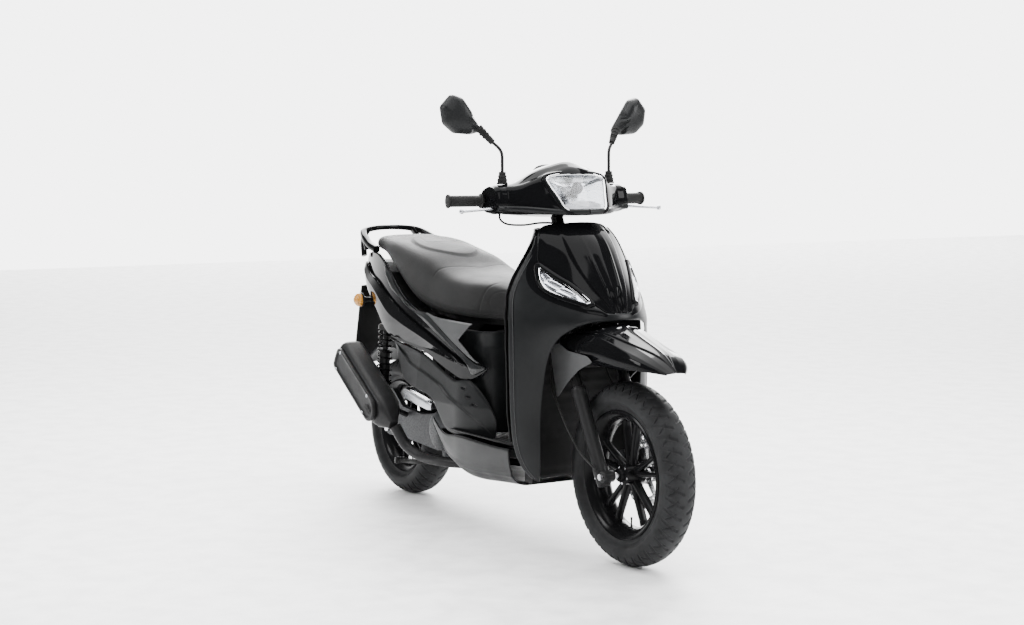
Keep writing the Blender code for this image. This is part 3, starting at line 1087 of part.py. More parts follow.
# ------------------------------------------------------------------ engine, exhaust and suspension
def engine():
    """The swinging unit: crankcase, cylinder, belt case on the left and arm on the right."""
    px, _, pz = PIVOT
    crank = (-0.300, 0.270)
    body = rod((crank[0], -0.072, crank[1]), (crank[0], CVT_Y[0] + 0.004, crank[1]), 0.080, sides=20)
    case = place("engine_case", body, CASE, PIVOT)
    belt = []
    for cx, cz, r, angles in ((crank[0], crank[1], 0.086, np.radians(range(-84, 97, 30))),
                              (REAR_AXLE.x, REAR_AXLE.z, 0.074, np.radians(range(96, 277, 30)))):
        belt += [(cx + r * math.cos(a), cz + r * math.sin(a)) for a in angles]
    cover = prism(belt, "xz", *CVT_Y)
    barrel = block((-0.150, 0, 0.282), (0.190, 0.092, 0.090))
    head_cover = block((-0.052, 0, 0.282), (0.028, 0.078, 0.076))
    hanger = rod((px, -0.060, pz), (px, 0.060, pz), 0.022, sides=18)
    link = prism([(px - 0.055, 0.300), (px + 0.025, 0.300), (px + 0.018, pz), (px - 0.018, pz)],
                 "xz", -0.040, 0.040)
    arm = prism([(-0.300, 0.200), (-0.290, 0.330), (-0.420, 0.312), (-0.560, 0.322), (-0.618, 0.366),
                 (-0.640, 0.378), (-0.664, 0.362), (-0.690, 0.252), (-0.690, 0.222), (-0.668, 0.208),
                 (-0.560, 0.214), (-0.420, 0.206)], "xz", *ARM_Y)
    right_case = rod((crank[0], -0.070, crank[1]), (crank[0], -0.104, crank[1]), 0.074, 0.064, sides=20)
    shaft = rod(REAR_AXLE + Y_AXIS * (ARM_Y[0] - 0.006), REAR_AXLE + Y_AXIS * (CVT_Y[0] + 0.010), 0.0085,
                sides=20)
    nut = rod(REAR_AXLE + Y_AXIS * (ARM_Y[0] - 0.010), REAR_AXLE + Y_AXIS * (ARM_Y[0] + 0.002), 0.016,
              sides=6)
    foot = Vector(SHOCK_FOOT)
    bolt = rod(foot + Y_AXIS * 0.040, foot - Y_AXIS * 0.020, SHOCK_PIN_R, sides=14)
    sx, _, sz = STAND_PIVOT
    lugs = [prism([(sx - 0.012, sz), (sx - 0.008, sz - 0.010), (sx + 0.008, sz - 0.010),
                   (sx + 0.014, sz), (sx + 0.020, 0.205), (sx - 0.010, 0.212)], "xz", s * 0.046, s * 0.060)
            for s in (1, -1)]
    stand_pin = rod((sx, -0.064, sz), (sx, 0.064, sz), 0.0055, sides=14)
    box = block((-0.458, 0.110, 0.352), (0.180, 0.070, 0.100))
    fuse(case, right_case, cover, barrel, head_cover, link, hanger, arm, shaft, nut, bolt, box, *lugs,
         stand_pin)
    cut(case, rod((px, -0.08, pz), (px, 0.08, pz), PIVOT_R + RUNNING, sides=16))


def exhaust():
    """The pipe from the cylinder head, the muffler and its heat shield."""
    rear, front = Vector((MUFFLER_REAR[0], 0, MUFFLER_REAR[1])), Vector((MUFFLER_FRONT[0], 0,
                                                                       MUFFLER_FRONT[1]))
    along = (front - rear).normalized()
    up = Vector((-along.z, 0, along.x))
    mid_y = sum(MUFFLER_Y) / 2
    half_y = (MUFFLER_Y[1] - MUFFLER_Y[0]) / 2
    long = (front - rear).length
    rings = []
    for at, size in ((0.0, 0.80), (0.012, 1.0), (long - 0.050, 1.0), (long - 0.012, 0.82),
                     (long + 0.012, 0.50), (long + 0.030, 0.32)):
        ring = []
        for a in np.linspace(0, math.tau, 20, endpoint=False):
            c, s = math.cos(a), math.sin(a)
            y = math.copysign(abs(c) ** 0.62, c) * half_y * size
            h = math.copysign(abs(s) ** 0.62, s) * MUFFLER_H / 2 * size
            ring.append(rear + along * at + up * h + Y_AXIS * (mid_y + y))
        rings.append(ring)
    can = place("exhaust", loft(rings), CASE, PIVOT)
    nose = front + along * 0.024 + Y_AXIS * mid_y
    pipe_path = [(-0.085, -0.022, 0.2225), (-0.076, -0.052, 0.2000), (-0.110, -0.105, 0.1900),
                 (-0.200, -0.145, 0.1880), (-0.300, -0.160, 0.1900), (-0.372, -0.180, 0.2180),
                 tuple(nose)]
    bracket = prism([(-0.590, 0.290), (-0.500, 0.290), (-0.480, 0.330), (-0.520, 0.385),
                     (-0.570, 0.372)], "xz", -0.176, -0.170)
    flange = rod((-0.086, -0.020, 0.2367), (-0.086, -0.020, 0.2180), 0.0165, sides=12)
    strut = rod((-0.520, ARM_Y[0] - 0.004, 0.296), (-0.520, -0.200, 0.345), 0.009, sides=12)
    fuse(can, pipe(pipe_path, (0.0140, 0.0190), sides=12, count=16), flange, bracket, strut)

    rings = []
    for y, size in ((MUFFLER_Y[0] - GAP, 1.0), (MUFFLER_Y[0] - 0.007, 1.0), (MUFFLER_Y[0] - 0.013, 0.86)):
        outline = rounded([(0.020, -0.042), (long - 0.040, -0.042), (long - 0.015, 0.0),
                           (long - 0.040, 0.042), (0.020, 0.042)], 0.018)
        ring = []
        for a, h in outline:
            middle = long / 2
            p = rear + along * (middle + (a - middle) * (1 - (1 - size) * 0.3)) + up * h * size
            ring.append((p.x, y, p.z))
        rings.append(ring)
    place("muffler_cover", loft(rings), MATTE, PIVOT)


def suspension():
    """The rear shock absorber: lower body, rod and spring."""
    top, foot = Vector(SHOCK_TOP), Vector(SHOCK_FOOT)
    up = (top - foot).normalized()
    long = (top - foot).length
    eye_half = 0.009

    def eye(at):
        return rod(at - Y_AXIS * eye_half, at + Y_AXIS * eye_half, SHOCK_EYE_R, sides=20)

    lower = place("shock_body", rod(foot + up * 0.010, foot + up * 0.150, 0.0185, sides=20), FRAME, foot)
    fuse(lower, eye(foot), rod(foot + up * 0.032, foot + up * 0.040, 0.0290, sides=20))
    cut(lower, rod(foot - Y_AXIS * 0.02, foot + Y_AXIS * 0.02, SHOCK_PIN_R + RUNNING, sides=16),
        rod(foot + up * 0.035, foot + up * 0.160, SHOCK_ROD_R + SHOCK_SLACK, sides=20))
    upper = place("shock_rod", rod(foot + up * 0.100, top - up * 0.010, SHOCK_ROD_R, sides=16), STEEL, top)
    fuse(upper, eye(top), rod(top - up * 0.048, top - up * 0.032, 0.0290, sides=20))
    cut(upper, rod(top - Y_AXIS * 0.02, top + Y_AXIS * 0.02, SHOCK_PIN_R + RUNNING, sides=16))
    low, high = 0.040 + GAP, long - 0.048 - GAP
    coil = turned([(SPRING_R - SPRING_WALL, low), (SPRING_R, low), (SPRING_R, high),
                   (SPRING_R - SPRING_WALL, high)], foot, up, steps=24, ring=True)
    place("shock_spring", coil, FRAME, foot)


def stands():
    """The centre stand and the passenger's folding footrests."""
    sx, _, sz = STAND_PIVOT
    tube = rod((sx, -0.044, sz), (sx, 0.044, sz), STAND_TUBE_R, sides=16)
    stand = place("centre_stand", tube, FRAME, STAND_PIVOT)
    leg = pipe([(sx - 0.002, 0.033, sz), (sx - 0.030, 0.036, sz - 0.006),
                (sx - 0.062, 0.068, sz - 0.012), (sx - 0.105, 0.098, sz - 0.018),
                (sx - STAND_REACH + 0.03, 0.104, sz - 0.024), (sx - STAND_REACH, 0.120, sz - 0.022)],
               0.0085, sides=8, count=9)
    pad = block((sx - STAND_REACH, 0.118, sz - 0.024), (0.014, 0.040, 0.022))
    cross = rod((sx - 0.105, -0.098, sz - 0.018), (sx - 0.105, 0.098, sz - 0.018), 0.0065, sides=8)
    fuse(stand, leg.copy(), mirrored(leg), cross, pad.copy(), mirrored(pad))
    cut(stand, rod((sx, -0.08, sz), (sx, 0.08, sz), 0.0055 + RUNNING, sides=14))
    leg.free()
    pad.free()

    x, y = PEG_PIVOT
    for side, name in ((1, "passenger_footrest_left"), (-1, "passenger_footrest_right")):
        rings = []
        for at, low, high, half in ((-0.006, 0.3785, 0.4130, 0.009), (0.012, 0.3785, 0.4130, 0.011),
                                    (0.100, 0.370, 0.402, 0.014), (0.175, 0.364, 0.392, 0.013),
                                    (0.193, 0.366, 0.386, 0.008)):
            centre = y + 0.10 * max(at - 0.02, 0) * 0.6
            rings.append([(x + at, side * (centre - half), low), (x + at, side * (centre + half), low + 0.004),
                          (x + at, side * (centre + half), high - 0.004), (x + at, side * (centre - half), high)])
        peg = place(name, loft(rings), ALLOY, (x, side * y, 0.396))
        fuse(peg, rod((x, side * y, 0.3785), (x, side * y, 0.4130), 0.011, sides=16))
        cut(peg, rod((x, side * y, 0.36), (x, side * y, 0.43), 0.004 + RUNNING, sides=14))


def main():
    """Clear the scene and build every piece."""
    for old in list(bpy.data.objects):
        bpy.data.objects.remove(old, do_unlink=True)
    main_frame()
    front_panels()
    inner_shield()
    floorboard()
    belly_pan()
    underseat()
    side_panels()
    tail()
    seat()
    stands()
    fork()
    caliper()
    handlebar()
    handlebar_cover()
    mirrors()
    front_mudguard()
    cables()
    wheels()
    engine()
    exhaust()
    suspension()


main()
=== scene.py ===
"""Looks of a step-through moped scooter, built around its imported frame.

Metres, +X forward, +Y to the rider's left, +Z up.  Each sub-assembly is a class that
holds its sizes and builds its own pieces; each finish is a frozen dataclass that makes
one procedural material.
"""

import logging
import math
from dataclasses import dataclass, field
from typing import Iterable, Sequence

import bmesh
import bpy
import numpy as np
from mathutils import Matrix, Vector


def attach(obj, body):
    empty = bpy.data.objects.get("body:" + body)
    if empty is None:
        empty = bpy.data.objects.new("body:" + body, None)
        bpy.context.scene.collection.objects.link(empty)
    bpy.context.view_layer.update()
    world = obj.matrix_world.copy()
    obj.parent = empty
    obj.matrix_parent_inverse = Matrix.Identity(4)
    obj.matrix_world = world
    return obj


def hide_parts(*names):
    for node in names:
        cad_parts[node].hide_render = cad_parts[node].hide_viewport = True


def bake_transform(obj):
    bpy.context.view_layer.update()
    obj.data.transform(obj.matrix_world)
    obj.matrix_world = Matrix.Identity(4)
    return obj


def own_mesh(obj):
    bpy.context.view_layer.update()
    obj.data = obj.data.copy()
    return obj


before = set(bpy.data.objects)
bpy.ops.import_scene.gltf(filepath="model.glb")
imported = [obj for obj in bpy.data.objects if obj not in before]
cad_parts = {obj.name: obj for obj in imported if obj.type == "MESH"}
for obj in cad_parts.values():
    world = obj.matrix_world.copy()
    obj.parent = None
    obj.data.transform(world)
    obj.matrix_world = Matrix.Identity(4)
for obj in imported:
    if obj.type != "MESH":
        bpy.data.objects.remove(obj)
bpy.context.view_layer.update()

log = logging.getLogger("scooter")
Array = np.ndarray
Points = Sequence[Sequence[float]]

UP = np.array([0.0, 0.0, 1.0])
ACROSS = np.array([0.0, 1.0, 0.0])
FORWARD = np.array([1.0, 0.0, 0.0])


# ---------------------------------------------------------------- curves and grids
def unit(vectors: Array) -> Array:
    """Scale vectors to length one."""
    return vectors / np.maximum(np.linalg.norm(vectors, axis=-1, keepdims=True), 1e-9)


def curve_through(points: Points, count: int) -> Array:
    """Read points evenly along a Catmull-Rom curve.

    Args:
        points: the points that the curve passes through, in two or three dimensions.
        count: how many points to read.

    Returns:
        An array of count points, equally far apart along the curve.
    """
    p = np.asarray(points, float)
    p = np.vstack([2 * p[0] - p[1], p, 2 * p[-1] - p[-2]])
    t = np.linspace(0, 1, 24, endpoint=False)[None, :, None]
    a, b, c, d = (p[i:len(p) - 3 + i][:, None] for i in range(4))
    fine = 0.5 * (2 * b + (c - a) * t + (2 * a - 5 * b + 4 * c - d) * t ** 2 + (
        3 * b - a - 3 * c + d) * t ** 3)
    fine = np.vstack([fine.reshape(-1, p.shape[1]), p[-2][None]])
    run = np.concatenate([[0], np.cumsum(np.linalg.norm(np.diff(fine, axis=0), axis=1))])
    even = np.linspace(0, run[-1], count)
    return np.stack([np.interp(even, run, fine[:, k]) for k in range(p.shape[1])], axis=-1)


def broken(points: Points, count: int) -> Array:
    """Read points evenly along straight runs, so that corners stay sharp."""
    p = np.asarray(points, float)
    run = np.concatenate([[0], np.cumsum(np.linalg.norm(np.diff(p, axis=0), axis=1))])
    even = np.linspace(0, run[-1], count)
    return np.stack([np.interp(even, run, p[:, k]) for k in range(p.shape[1])], axis=-1)


def spline(knots: Sequence[float], values: Points | Sequence[float], at: Array) -> Array:
    """Read a natural cubic spline.

    Args:
        knots: rising knot positions.
        values: one value, or one row of values, for each knot.
        at: where to read it; positions past the ends take the end values.

    Returns:
        The values there, with one more dimension where the knots hold rows.
    """
    x, y = np.asarray(knots, float), np.asarray(values, float)
    h = np.diff(x)
    n = len(x)
    system = np.eye(n)
    inner = np.arange(1, n - 1)
    system[inner, inner - 1], system[inner, inner], system[inner, inner + 1] = h[:-1], 2 * (
        h[:-1] + h[1:]), h[1:]
    slope = np.diff(y, axis=0) / h.reshape(-1, *[1] * (y.ndim - 1))
    right = np.zeros_like(y)
    right[1:-1] = 6 * np.diff(slope, axis=0)
    bend = np.linalg.solve(system, right.reshape(n, -1)).reshape(y.shape)
    at = np.clip(at, x[0], x[-1])
    i = np.clip(np.searchsorted(x, at) - 1, 0, n - 2)
    shape = at.shape + (1,) * (y.ndim - 1)
    gap, low, high = h[i].reshape(shape), (at - x[i]).reshape(shape), (x[i + 1] - at).reshape(shape)
    return (bend[i] * high ** 3 + bend[i + 1] * low ** 3) / (6 * gap) \
        + (y[i] / gap - bend[i] * gap / 6) * high + (y[i + 1] / gap - bend[i + 1] * gap / 6) * low


def ease(low: float, high: float, at: Array) -> Array:
    """Rise smoothly from 0 at low to 1 at high."""
    t = np.clip((at - low) / (high - low), 0, 1)
    return t * t * (3 - 2 * t)


def coons(start: Array, end: Array, left: Array, right: Array) -> Array:
    """Fill four boundary curves with a grid: the two ruled surfaces added, less the bilinear one.

    Args:
        start: the first row's points, from its left end to its right end.
        end: the last row's points.
        left: the first column's points, from start to end.
        right: the last column's points.

    Returns:
        A grid of len(left) rows and len(start) columns.
    """
    v = np.linspace(0, 1, len(left))[:, None, None]
    u = np.linspace(0, 1, len(start))[None, :, None]
    rows = (1 - v) * start[None] + v * end[None]
    columns = (1 - u) * left[:, None] + u * right[:, None]
    corners = (1 - v) * ((1 - u) * start[0] + u * start[-1]) + v * ((1 - u) * end[0] + u * end[-1])
    return rows + columns - corners


def sweep(path: Array, section: Array, scale: Array | float = 1.0, up: Array = UP,
        twist: Array | float = 0.0) -> Array:
    """Carry a closed section along a path.

    Each ring is the path's point plus the section's two numbers times the side and the
    up direction there, where side is square to the path and to the up hint.

    Args:
        path: the path's points.
        section: the section's points, across and up.
        scale: one number, one for each ring, or two for each ring.
        up: the direction that stays up, or one for each ring.
        twist: a turn about the path, in radians, for each ring.

    Returns:
        A grid of rings.
    """
    along = unit(np.gradient(path, axis=0))
    side = unit(np.cross(np.broadcast_to(up, path.shape), along))
    high = np.cross(along, side)
    size = np.broadcast_to(np.asarray(scale, float).reshape(-1, 1) if np.ndim(scale) < 2 else scale,
        (len(path), 2))
    turn = np.broadcast_to(twist, (len(path),))[:, None, None]
    a = section[None, :, :1] * size[:, None, :1]
    b = section[None, :, 1:] * size[:, None, 1:]
    a, b = a * np.cos(turn) - b * np.sin(turn), a * np.sin(turn) + b * np.cos(turn)
    return path[:, None] + a * side[:, None] + b * high[:, None]


def squared(power: float, count: int) -> Array:
    """Give a closed unit section between a circle (power 2) and a square (large power)."""
    a = np.linspace(0, math.tau, count, endpoint=False)
    c, s = np.cos(a), np.sin(a)
    return np.stack([np.sign(c) * np.abs(c) ** (2 / power), np.sign(s) * np.abs(s) ** (2 / power)], axis=-1)


def revolve(profile: Points, centre: Sequence[float], axis: Sequence[float], steps: int) -> Array:
    """Turn a profile of radius and height about an axis through a centre."""
    p = np.asarray(profile, float)
    along = unit(np.asarray(axis, float))
    side = unit(np.cross(along, UP if abs(along[2]) < 0.9 else FORWARD))
    other = np.cross(along, side)
    a = np.linspace(0, math.tau, steps, endpoint=False)
    ring = np.cos(a)[:, None] * side + np.sin(a)[:, None] * other
    return np.asarray(centre) + p[:, None, :1] * ring[None] + p[:, None, 1:] * along


def softened(corners: Points, radius: float, steps: int = 5) -> Array:
    """Round a closed outline's corners with parabolic arcs."""
    p = np.asarray(corners, float)
    before, after = np.roll(p, 1, axis=0) - p, np.roll(p, -1, axis=0) - p
    reach = np.minimum(radius, 0.45 * np.minimum(np.linalg.norm(before, axis=1), np.linalg.norm(after,
        axis=1)))
    a, b = p + unit(before) * reach[:, None], p + unit(after) * reach[:, None]
    t = np.linspace(0, 1, steps + 1)[None, :, None]
    arcs = a[:, None] * (1 - t) ** 2 + p[:, None] * 2 * t * (1 - t) + b[:, None] * t ** 2
    return arcs.reshape(-1, p.shape[1])


def resampled(outline: Array, count: int) -> Array:
    """Read points evenly round a closed outline."""
    return broken(np.vstack([outline, outline[:1]]), count + 1)[:-1]


# ---------------------------------------------------------------- materials
class NodeTree:
    """A material's nodes, added and linked in short calls."""

    def __init__(self, name: str) -> None:
        """Start a material that holds one Principled shader."""
        self.material = bpy.data.materials.new(name)
        self.material.use_nodes = True
        self.tree = self.material.node_tree
        self.shader = self.tree.nodes["Principled BSDF"]
        self.coordinates = self.tree.nodes.new("ShaderNodeTexCoord")

    def add(self, kind: str, inputs: dict[str | int, object] | None = None,
            **settings: object) -> bpy.types.Node:
        """Add a node, set its properties and feed its inputs with values or sockets."""
        node = self.tree.nodes.new(kind)
        for key, value in settings.items():
            setattr(node, key, value)
        for key, value in (inputs or {}).items():
            self.feed(node, key, value)
        return node

    def feed(self, node: bpy.types.Node, key: str | int, value: object) -> None:
        """Link a socket to an input, or set the input's value."""
        if isinstance(value, bpy.types.NodeSocket):
            self.tree.links.new(value, node.inputs[key])
        else:
            node.inputs[key].default_value = value

    def place(self, stretch: Sequence[float] = (1, 1, 1)) -> bpy.types.NodeSocket:
        """Give Object coordinates, stretched along the axes."""
        mapping = self.add("ShaderNodeMapping", {"Vector": self.coordinates.outputs["Object"],
            "Scale": stretch})
        return mapping.outputs["Vector"]

    def noise(self, scale: float, detail: float = 3.0, stretch: Sequence[float] = (1, 1,
            1)) -> bpy.types.NodeSocket:
        """Give a noise value on Object coordinates."""
        made = self.add("ShaderNodeTexNoise", {"Vector": self.place(stretch), "Scale": scale,
            "Detail": detail})
        return made.outputs["Fac"]

    def between(self, fac: bpy.types.NodeSocket, low: float, high: float, reach: tuple[float, float] = (
            0.35, 0.65)) -> bpy.types.NodeSocket:
        """Map a value from its usual reach to a range."""
        made = self.add("ShaderNodeMapRange", {"Value": fac, "From Min": reach[0], "From Max": reach[1],
            "To Min": low, "To Max": high})
        return made.outputs["Result"]

    def tint(self, fac: bpy.types.NodeSocket, colour: Sequence[float],
            change: float) -> bpy.types.NodeSocket:
        """Vary a colour's brightness by a share either way."""
        ramp = self.add("ShaderNodeValToRGB", {"Fac": fac})
        for stop, place, share in zip(ramp.color_ramp.elements, (0.35, 0.65), (1 - change, 1 + change)):
            stop.position = place
            stop.color = (*[min(c * share, 1.0) for c in colour], 1.0)
        return ramp.outputs["Color"]

    def bump(self, height: bpy.types.NodeSocket, strength: float, distance: float,
            under: bpy.types.NodeSocket | None = None) -> bpy.types.NodeSocket:
        """Turn a height into a normal, over another bump where one is given."""
        made = self.add("ShaderNodeBump", {"Height": height, "Strength": strength, "Distance": distance})
        if under is not None:
            self.feed(made, "Normal", under)
        return made.outputs["Normal"]


MADE: dict[str, bpy.types.Material] = {}


@dataclass(frozen=True)
class Finish:
    """A finish: its name, colour and sheen, and a slot name, which nothing here reads."""

    name: str
    slot: str
    colour: tuple[float, float, float]
    roughness: float
    metallic: float = 0.0
    ior: float = 1.25

    def material(self) -> bpy.types.Material:
        """Make the material the first time, and give it again after that."""
        if self.name not in MADE:
            nodes = NodeTree(self.name)
            nodes.shader.inputs["Metallic"].default_value = self.metallic
            nodes.shader.inputs["IOR"].default_value = self.ior
            self.dress(nodes)
            MADE[self.name] = nodes.material
        return MADE[self.name]

    def dress(self, nodes: NodeTree) -> None:
        """Give the shader a colour and a roughness that wander a little."""
        cloud = nodes.noise(9.0)
        nodes.feed(nodes.shader, "Base Color", nodes.tint(cloud, self.colour, 0.10))
        nodes.feed(nodes.shader, "Roughness", nodes.between(cloud, self.roughness * 0.9,
            self.roughness * 1.1))


@dataclass(frozen=True)
class Lacquer(Finish):
    """Deep gloss paint with a faint ripple and dust."""

    ior: float = 1.15

    def dress(self, nodes: NodeTree) -> None:
        """Add the ripple, and a haze of fine dust in the roughness."""
        Finish.dress(self, nodes)
        ripple = nodes.bump(nodes.noise(260.0, 1.0), 0.02, 0.0004)
        nodes.feed(nodes.shader, "Normal", ripple)
        dust = nodes.noise(48.0, 8.0)
        nodes.feed(nodes.shader, "Roughness", nodes.between(dust, self.roughness, self.roughness * 2.0,
            (.5, .8)))


@dataclass(frozen=True)
class Moulding(Finish):
    """Moulded plastic with a fine spark-eroded grain."""

    grain: float = 900.0
    depth: float = 0.25

    def dress(self, nodes: NodeTree) -> None:
        """Add the grain as bump, and rub the roughness a little shinier in patches."""
        Finish.dress(self, nodes)
        fine = nodes.add("ShaderNodeTexVoronoi", {"Vector": nodes.place(), "Scale": self.grain})
        nodes.feed(nodes.shader, "Normal", nodes.bump(fine.outputs["Distance"], self.depth, 0.0006))
        rubbed = nodes.noise(14.0, 6.0)
        nodes.feed(nodes.shader, "Roughness", nodes.between(rubbed, self.roughness * 0.82,
            self.roughness * 1.08))


@dataclass(frozen=True)
class Metal(Finish):
    """Bare or cast metal with fine stretched scratches."""

    stretch: tuple[float, float, float] = (1.0, 1.0, 8.0)
    grain: float = 220.0
    depth: float = 0.10

    def dress(self, nodes: NodeTree) -> None:
        """Let the scratches drive roughness and bump."""
        Finish.dress(self, nodes)
        lines = nodes.noise(self.grain, 4.0, self.stretch)
        nodes.feed(nodes.shader, "Roughness", nodes.between(lines, self.roughness * 0.7,
            self.roughness * 1.3))
        nodes.feed(nodes.shader, "Normal", nodes.bump(lines, self.depth, 0.0005))


@dataclass(frozen=True)
class Vinyl(Finish):
    """Seat vinyl: leather grain in two sizes, rubbed smoother in wide patches."""

    def dress(self, nodes: NodeTree) -> None:
        """Build the grain from cells broken by noise, and rub it down in wide patches."""
        Finish.dress(self, nodes)
        cells = nodes.add("ShaderNodeTexVoronoi", {"Vector": nodes.place(), "Scale": 620.0},
            feature="DISTANCE_TO_EDGE").outputs["Distance"]
        grain = nodes.bump(nodes.between(cells, 0.0, 1.0, (0.0, .35)), 0.35, 0.0007)
        nodes.feed(nodes.shader, "Normal", nodes.bump(nodes.noise(150.0, 4.0), 0.12, 0.0008, grain))
        worn = nodes.noise(5.0, 2.0)
        nodes.feed(nodes.shader, "Roughness", nodes.between(worn, self.roughness * 0.86,
            self.roughness * 1.1))
        nodes.shader.inputs["Sheen Weight"].default_value = 0.02
        nodes.shader.inputs["Sheen Roughness"].default_value = 0.6


@dataclass(frozen=True)
class RubberFinish(Finish):
    """Rubber with a lighter dusty bloom in random patches."""

    grain: float = 420.0

    def dress(self, nodes: NodeTree) -> None:
        """Mix a lighter bloom in by a fine noise, and add a soft skin of bump."""
        Finish.dress(self, nodes)
        bloom = nodes.noise(30.0, 7.0)
        nodes.feed(nodes.shader, "Base Color", nodes.tint(bloom, self.colour, 0.28))
        nodes.feed(nodes.shader, "Normal", nodes.bump(nodes.noise(self.grain, 3.0), 0.14, 0.0006))


@dataclass(frozen=True)
class Lens(Finish):
    """A clear or tinted moulded lens."""

    clear: float = 1.0

    def dress(self, nodes: NodeTree) -> None:
        """Let light through, with a faint ripple in the moulding."""
        nodes.shader.inputs["Base Color"].default_value = (*self.colour, 1.0)
        nodes.shader.inputs["Transmission Weight"].default_value = self.clear
        nodes.shader.inputs["IOR"].default_value = 1.46
        nodes.feed(nodes.shader, "Roughness", nodes.between(nodes.noise(80.0), self.roughness,
            self.roughness * 3))
        nodes.feed(nodes.shader, "Normal", nodes.bump(nodes.noise(120.0, 1.0), 0.03, 0.0004))


PAINT = Lacquer("gloss_black_lacquer", "gloss_black", (0.0035, 0.0036, 0.0040), 0.05)
CAST = Lacquer("wheel_black_lacquer", "wheel_black", (0.006, 0.006, 0.0065), 0.16)
SATIN = Moulding("satin_shield_plastic", "satin_black", (0.0055, 0.0060, 0.0065), 0.38, grain=1100.0,
    depth=0.10)
MATTE = Moulding("grained_floor_plastic", "matte_black", (0.0075, 0.0078, 0.0080), 0.55, grain=700.0,
    depth=0.35)
# DARK is also the painted shade of the muffler shield's slot.
DARK = Moulding("black_plastic_and_slot_shade", "matte_black", (0.004, 0.004, 0.0042), 0.62)
MIRROR_BACK = Moulding("mirror_shell_plastic", "matte_black", (0.008, 0.0085, 0.009), 0.42, grain=1500.0,
    depth=0.05)
TUBES = Metal("powder_coated_steel", "frame_black", (0.008, 0.008, 0.008), 0.38, 0.0, depth=0.05)
HEAT = Metal("heat_proof_black", "case_grey", (0.011, 0.011, 0.0115), 0.46, 0.1, stretch=(1, 1, 1),
    depth=0.12)
HOT_SHIELD = Moulding("muffler_shield_plastic", "matte_black", (0.012, 0.012, 0.0125), 0.50, grain=500.0)
ALLOY_DARK = Metal("cast_case_grey", "case_grey", (0.035, 0.036, 0.038), 0.50, 0.7, stretch=(1, 1, 1),
    depth=0.2)
ALLOY = Metal("polished_alloy", "aluminium", (0.42, 0.43, 0.45), 0.28, 1.0)
STEEL = Metal("turned_steel", "steel", (0.52, 0.52, 0.54), 0.28, 1.0, stretch=(1, 1, 1))
CHROME = Metal("bright_plating", "clear_lens", (0.86, 0.87, 0.89), 0.07, 1.0, grain=60.0, depth=0.02)
VINYL = Vinyl("seat_vinyl_grey", "seat_vinyl", (0.0085, 0.0085, 0.0087), 0.62, ior=1.22)
TREAD = RubberFinish("tyre_rubber", "tyre_rubber", (0.0135, 0.0138, 0.0145), 0.62)
GRIP = RubberFinish("grip_rubber", "rubber", (0.010, 0.010, 0.010), 0.66)
HOSE = RubberFinish("hose_rubber", "rubber", (0.009, 0.009, 0.009), 0.42)
CLEAR = Lens("clear_lens", "clear_lens", (0.96, 0.97, 1.0), 0.02)
AMBER = Lens("amber_lens", "amber_lens", (0.95, 0.42, 0.06), 0.10, clear=0.6)
RED = Lens("red_lens", "red_lens", (0.55, 0.01, 0.012), 0.05, clear=0.5)
TRIM = Moulding("grey_trim_plastic", "satin_black", (0.040, 0.041, 0.042), 0.45, grain=1100.0, depth=0.10)
CHEEK = Moulding("cheek_plastic", "satin_black", (0.055, 0.056, 0.057), 0.45, grain=900.0, depth=0.15)
SATIN_CHROME = Metal("lamp_plating", "clear_lens", (0.62, 0.63, 0.64), 0.26, 1.0, grain=40.0, depth=0.02)
BULB_GREY = Finish("bulb_shield_grey", "clear_lens", (0.09, 0.09, 0.095), 0.40, 0.4)
LAMP_WHITE = Finish("position_light_white", "clear_lens", (0.92, 0.92, 0.93), 0.25)
DISC_STEEL = Metal("ground_disc_steel", "steel", (0.62, 0.62, 0.63), 0.26, 1.0, stretch=(1, 1, 1),
    grain=400.0)
GLASS = Finish("mirror_silvering", "mirror_silver", (0.90, 0.91, 0.93), 0.015, 1.0)


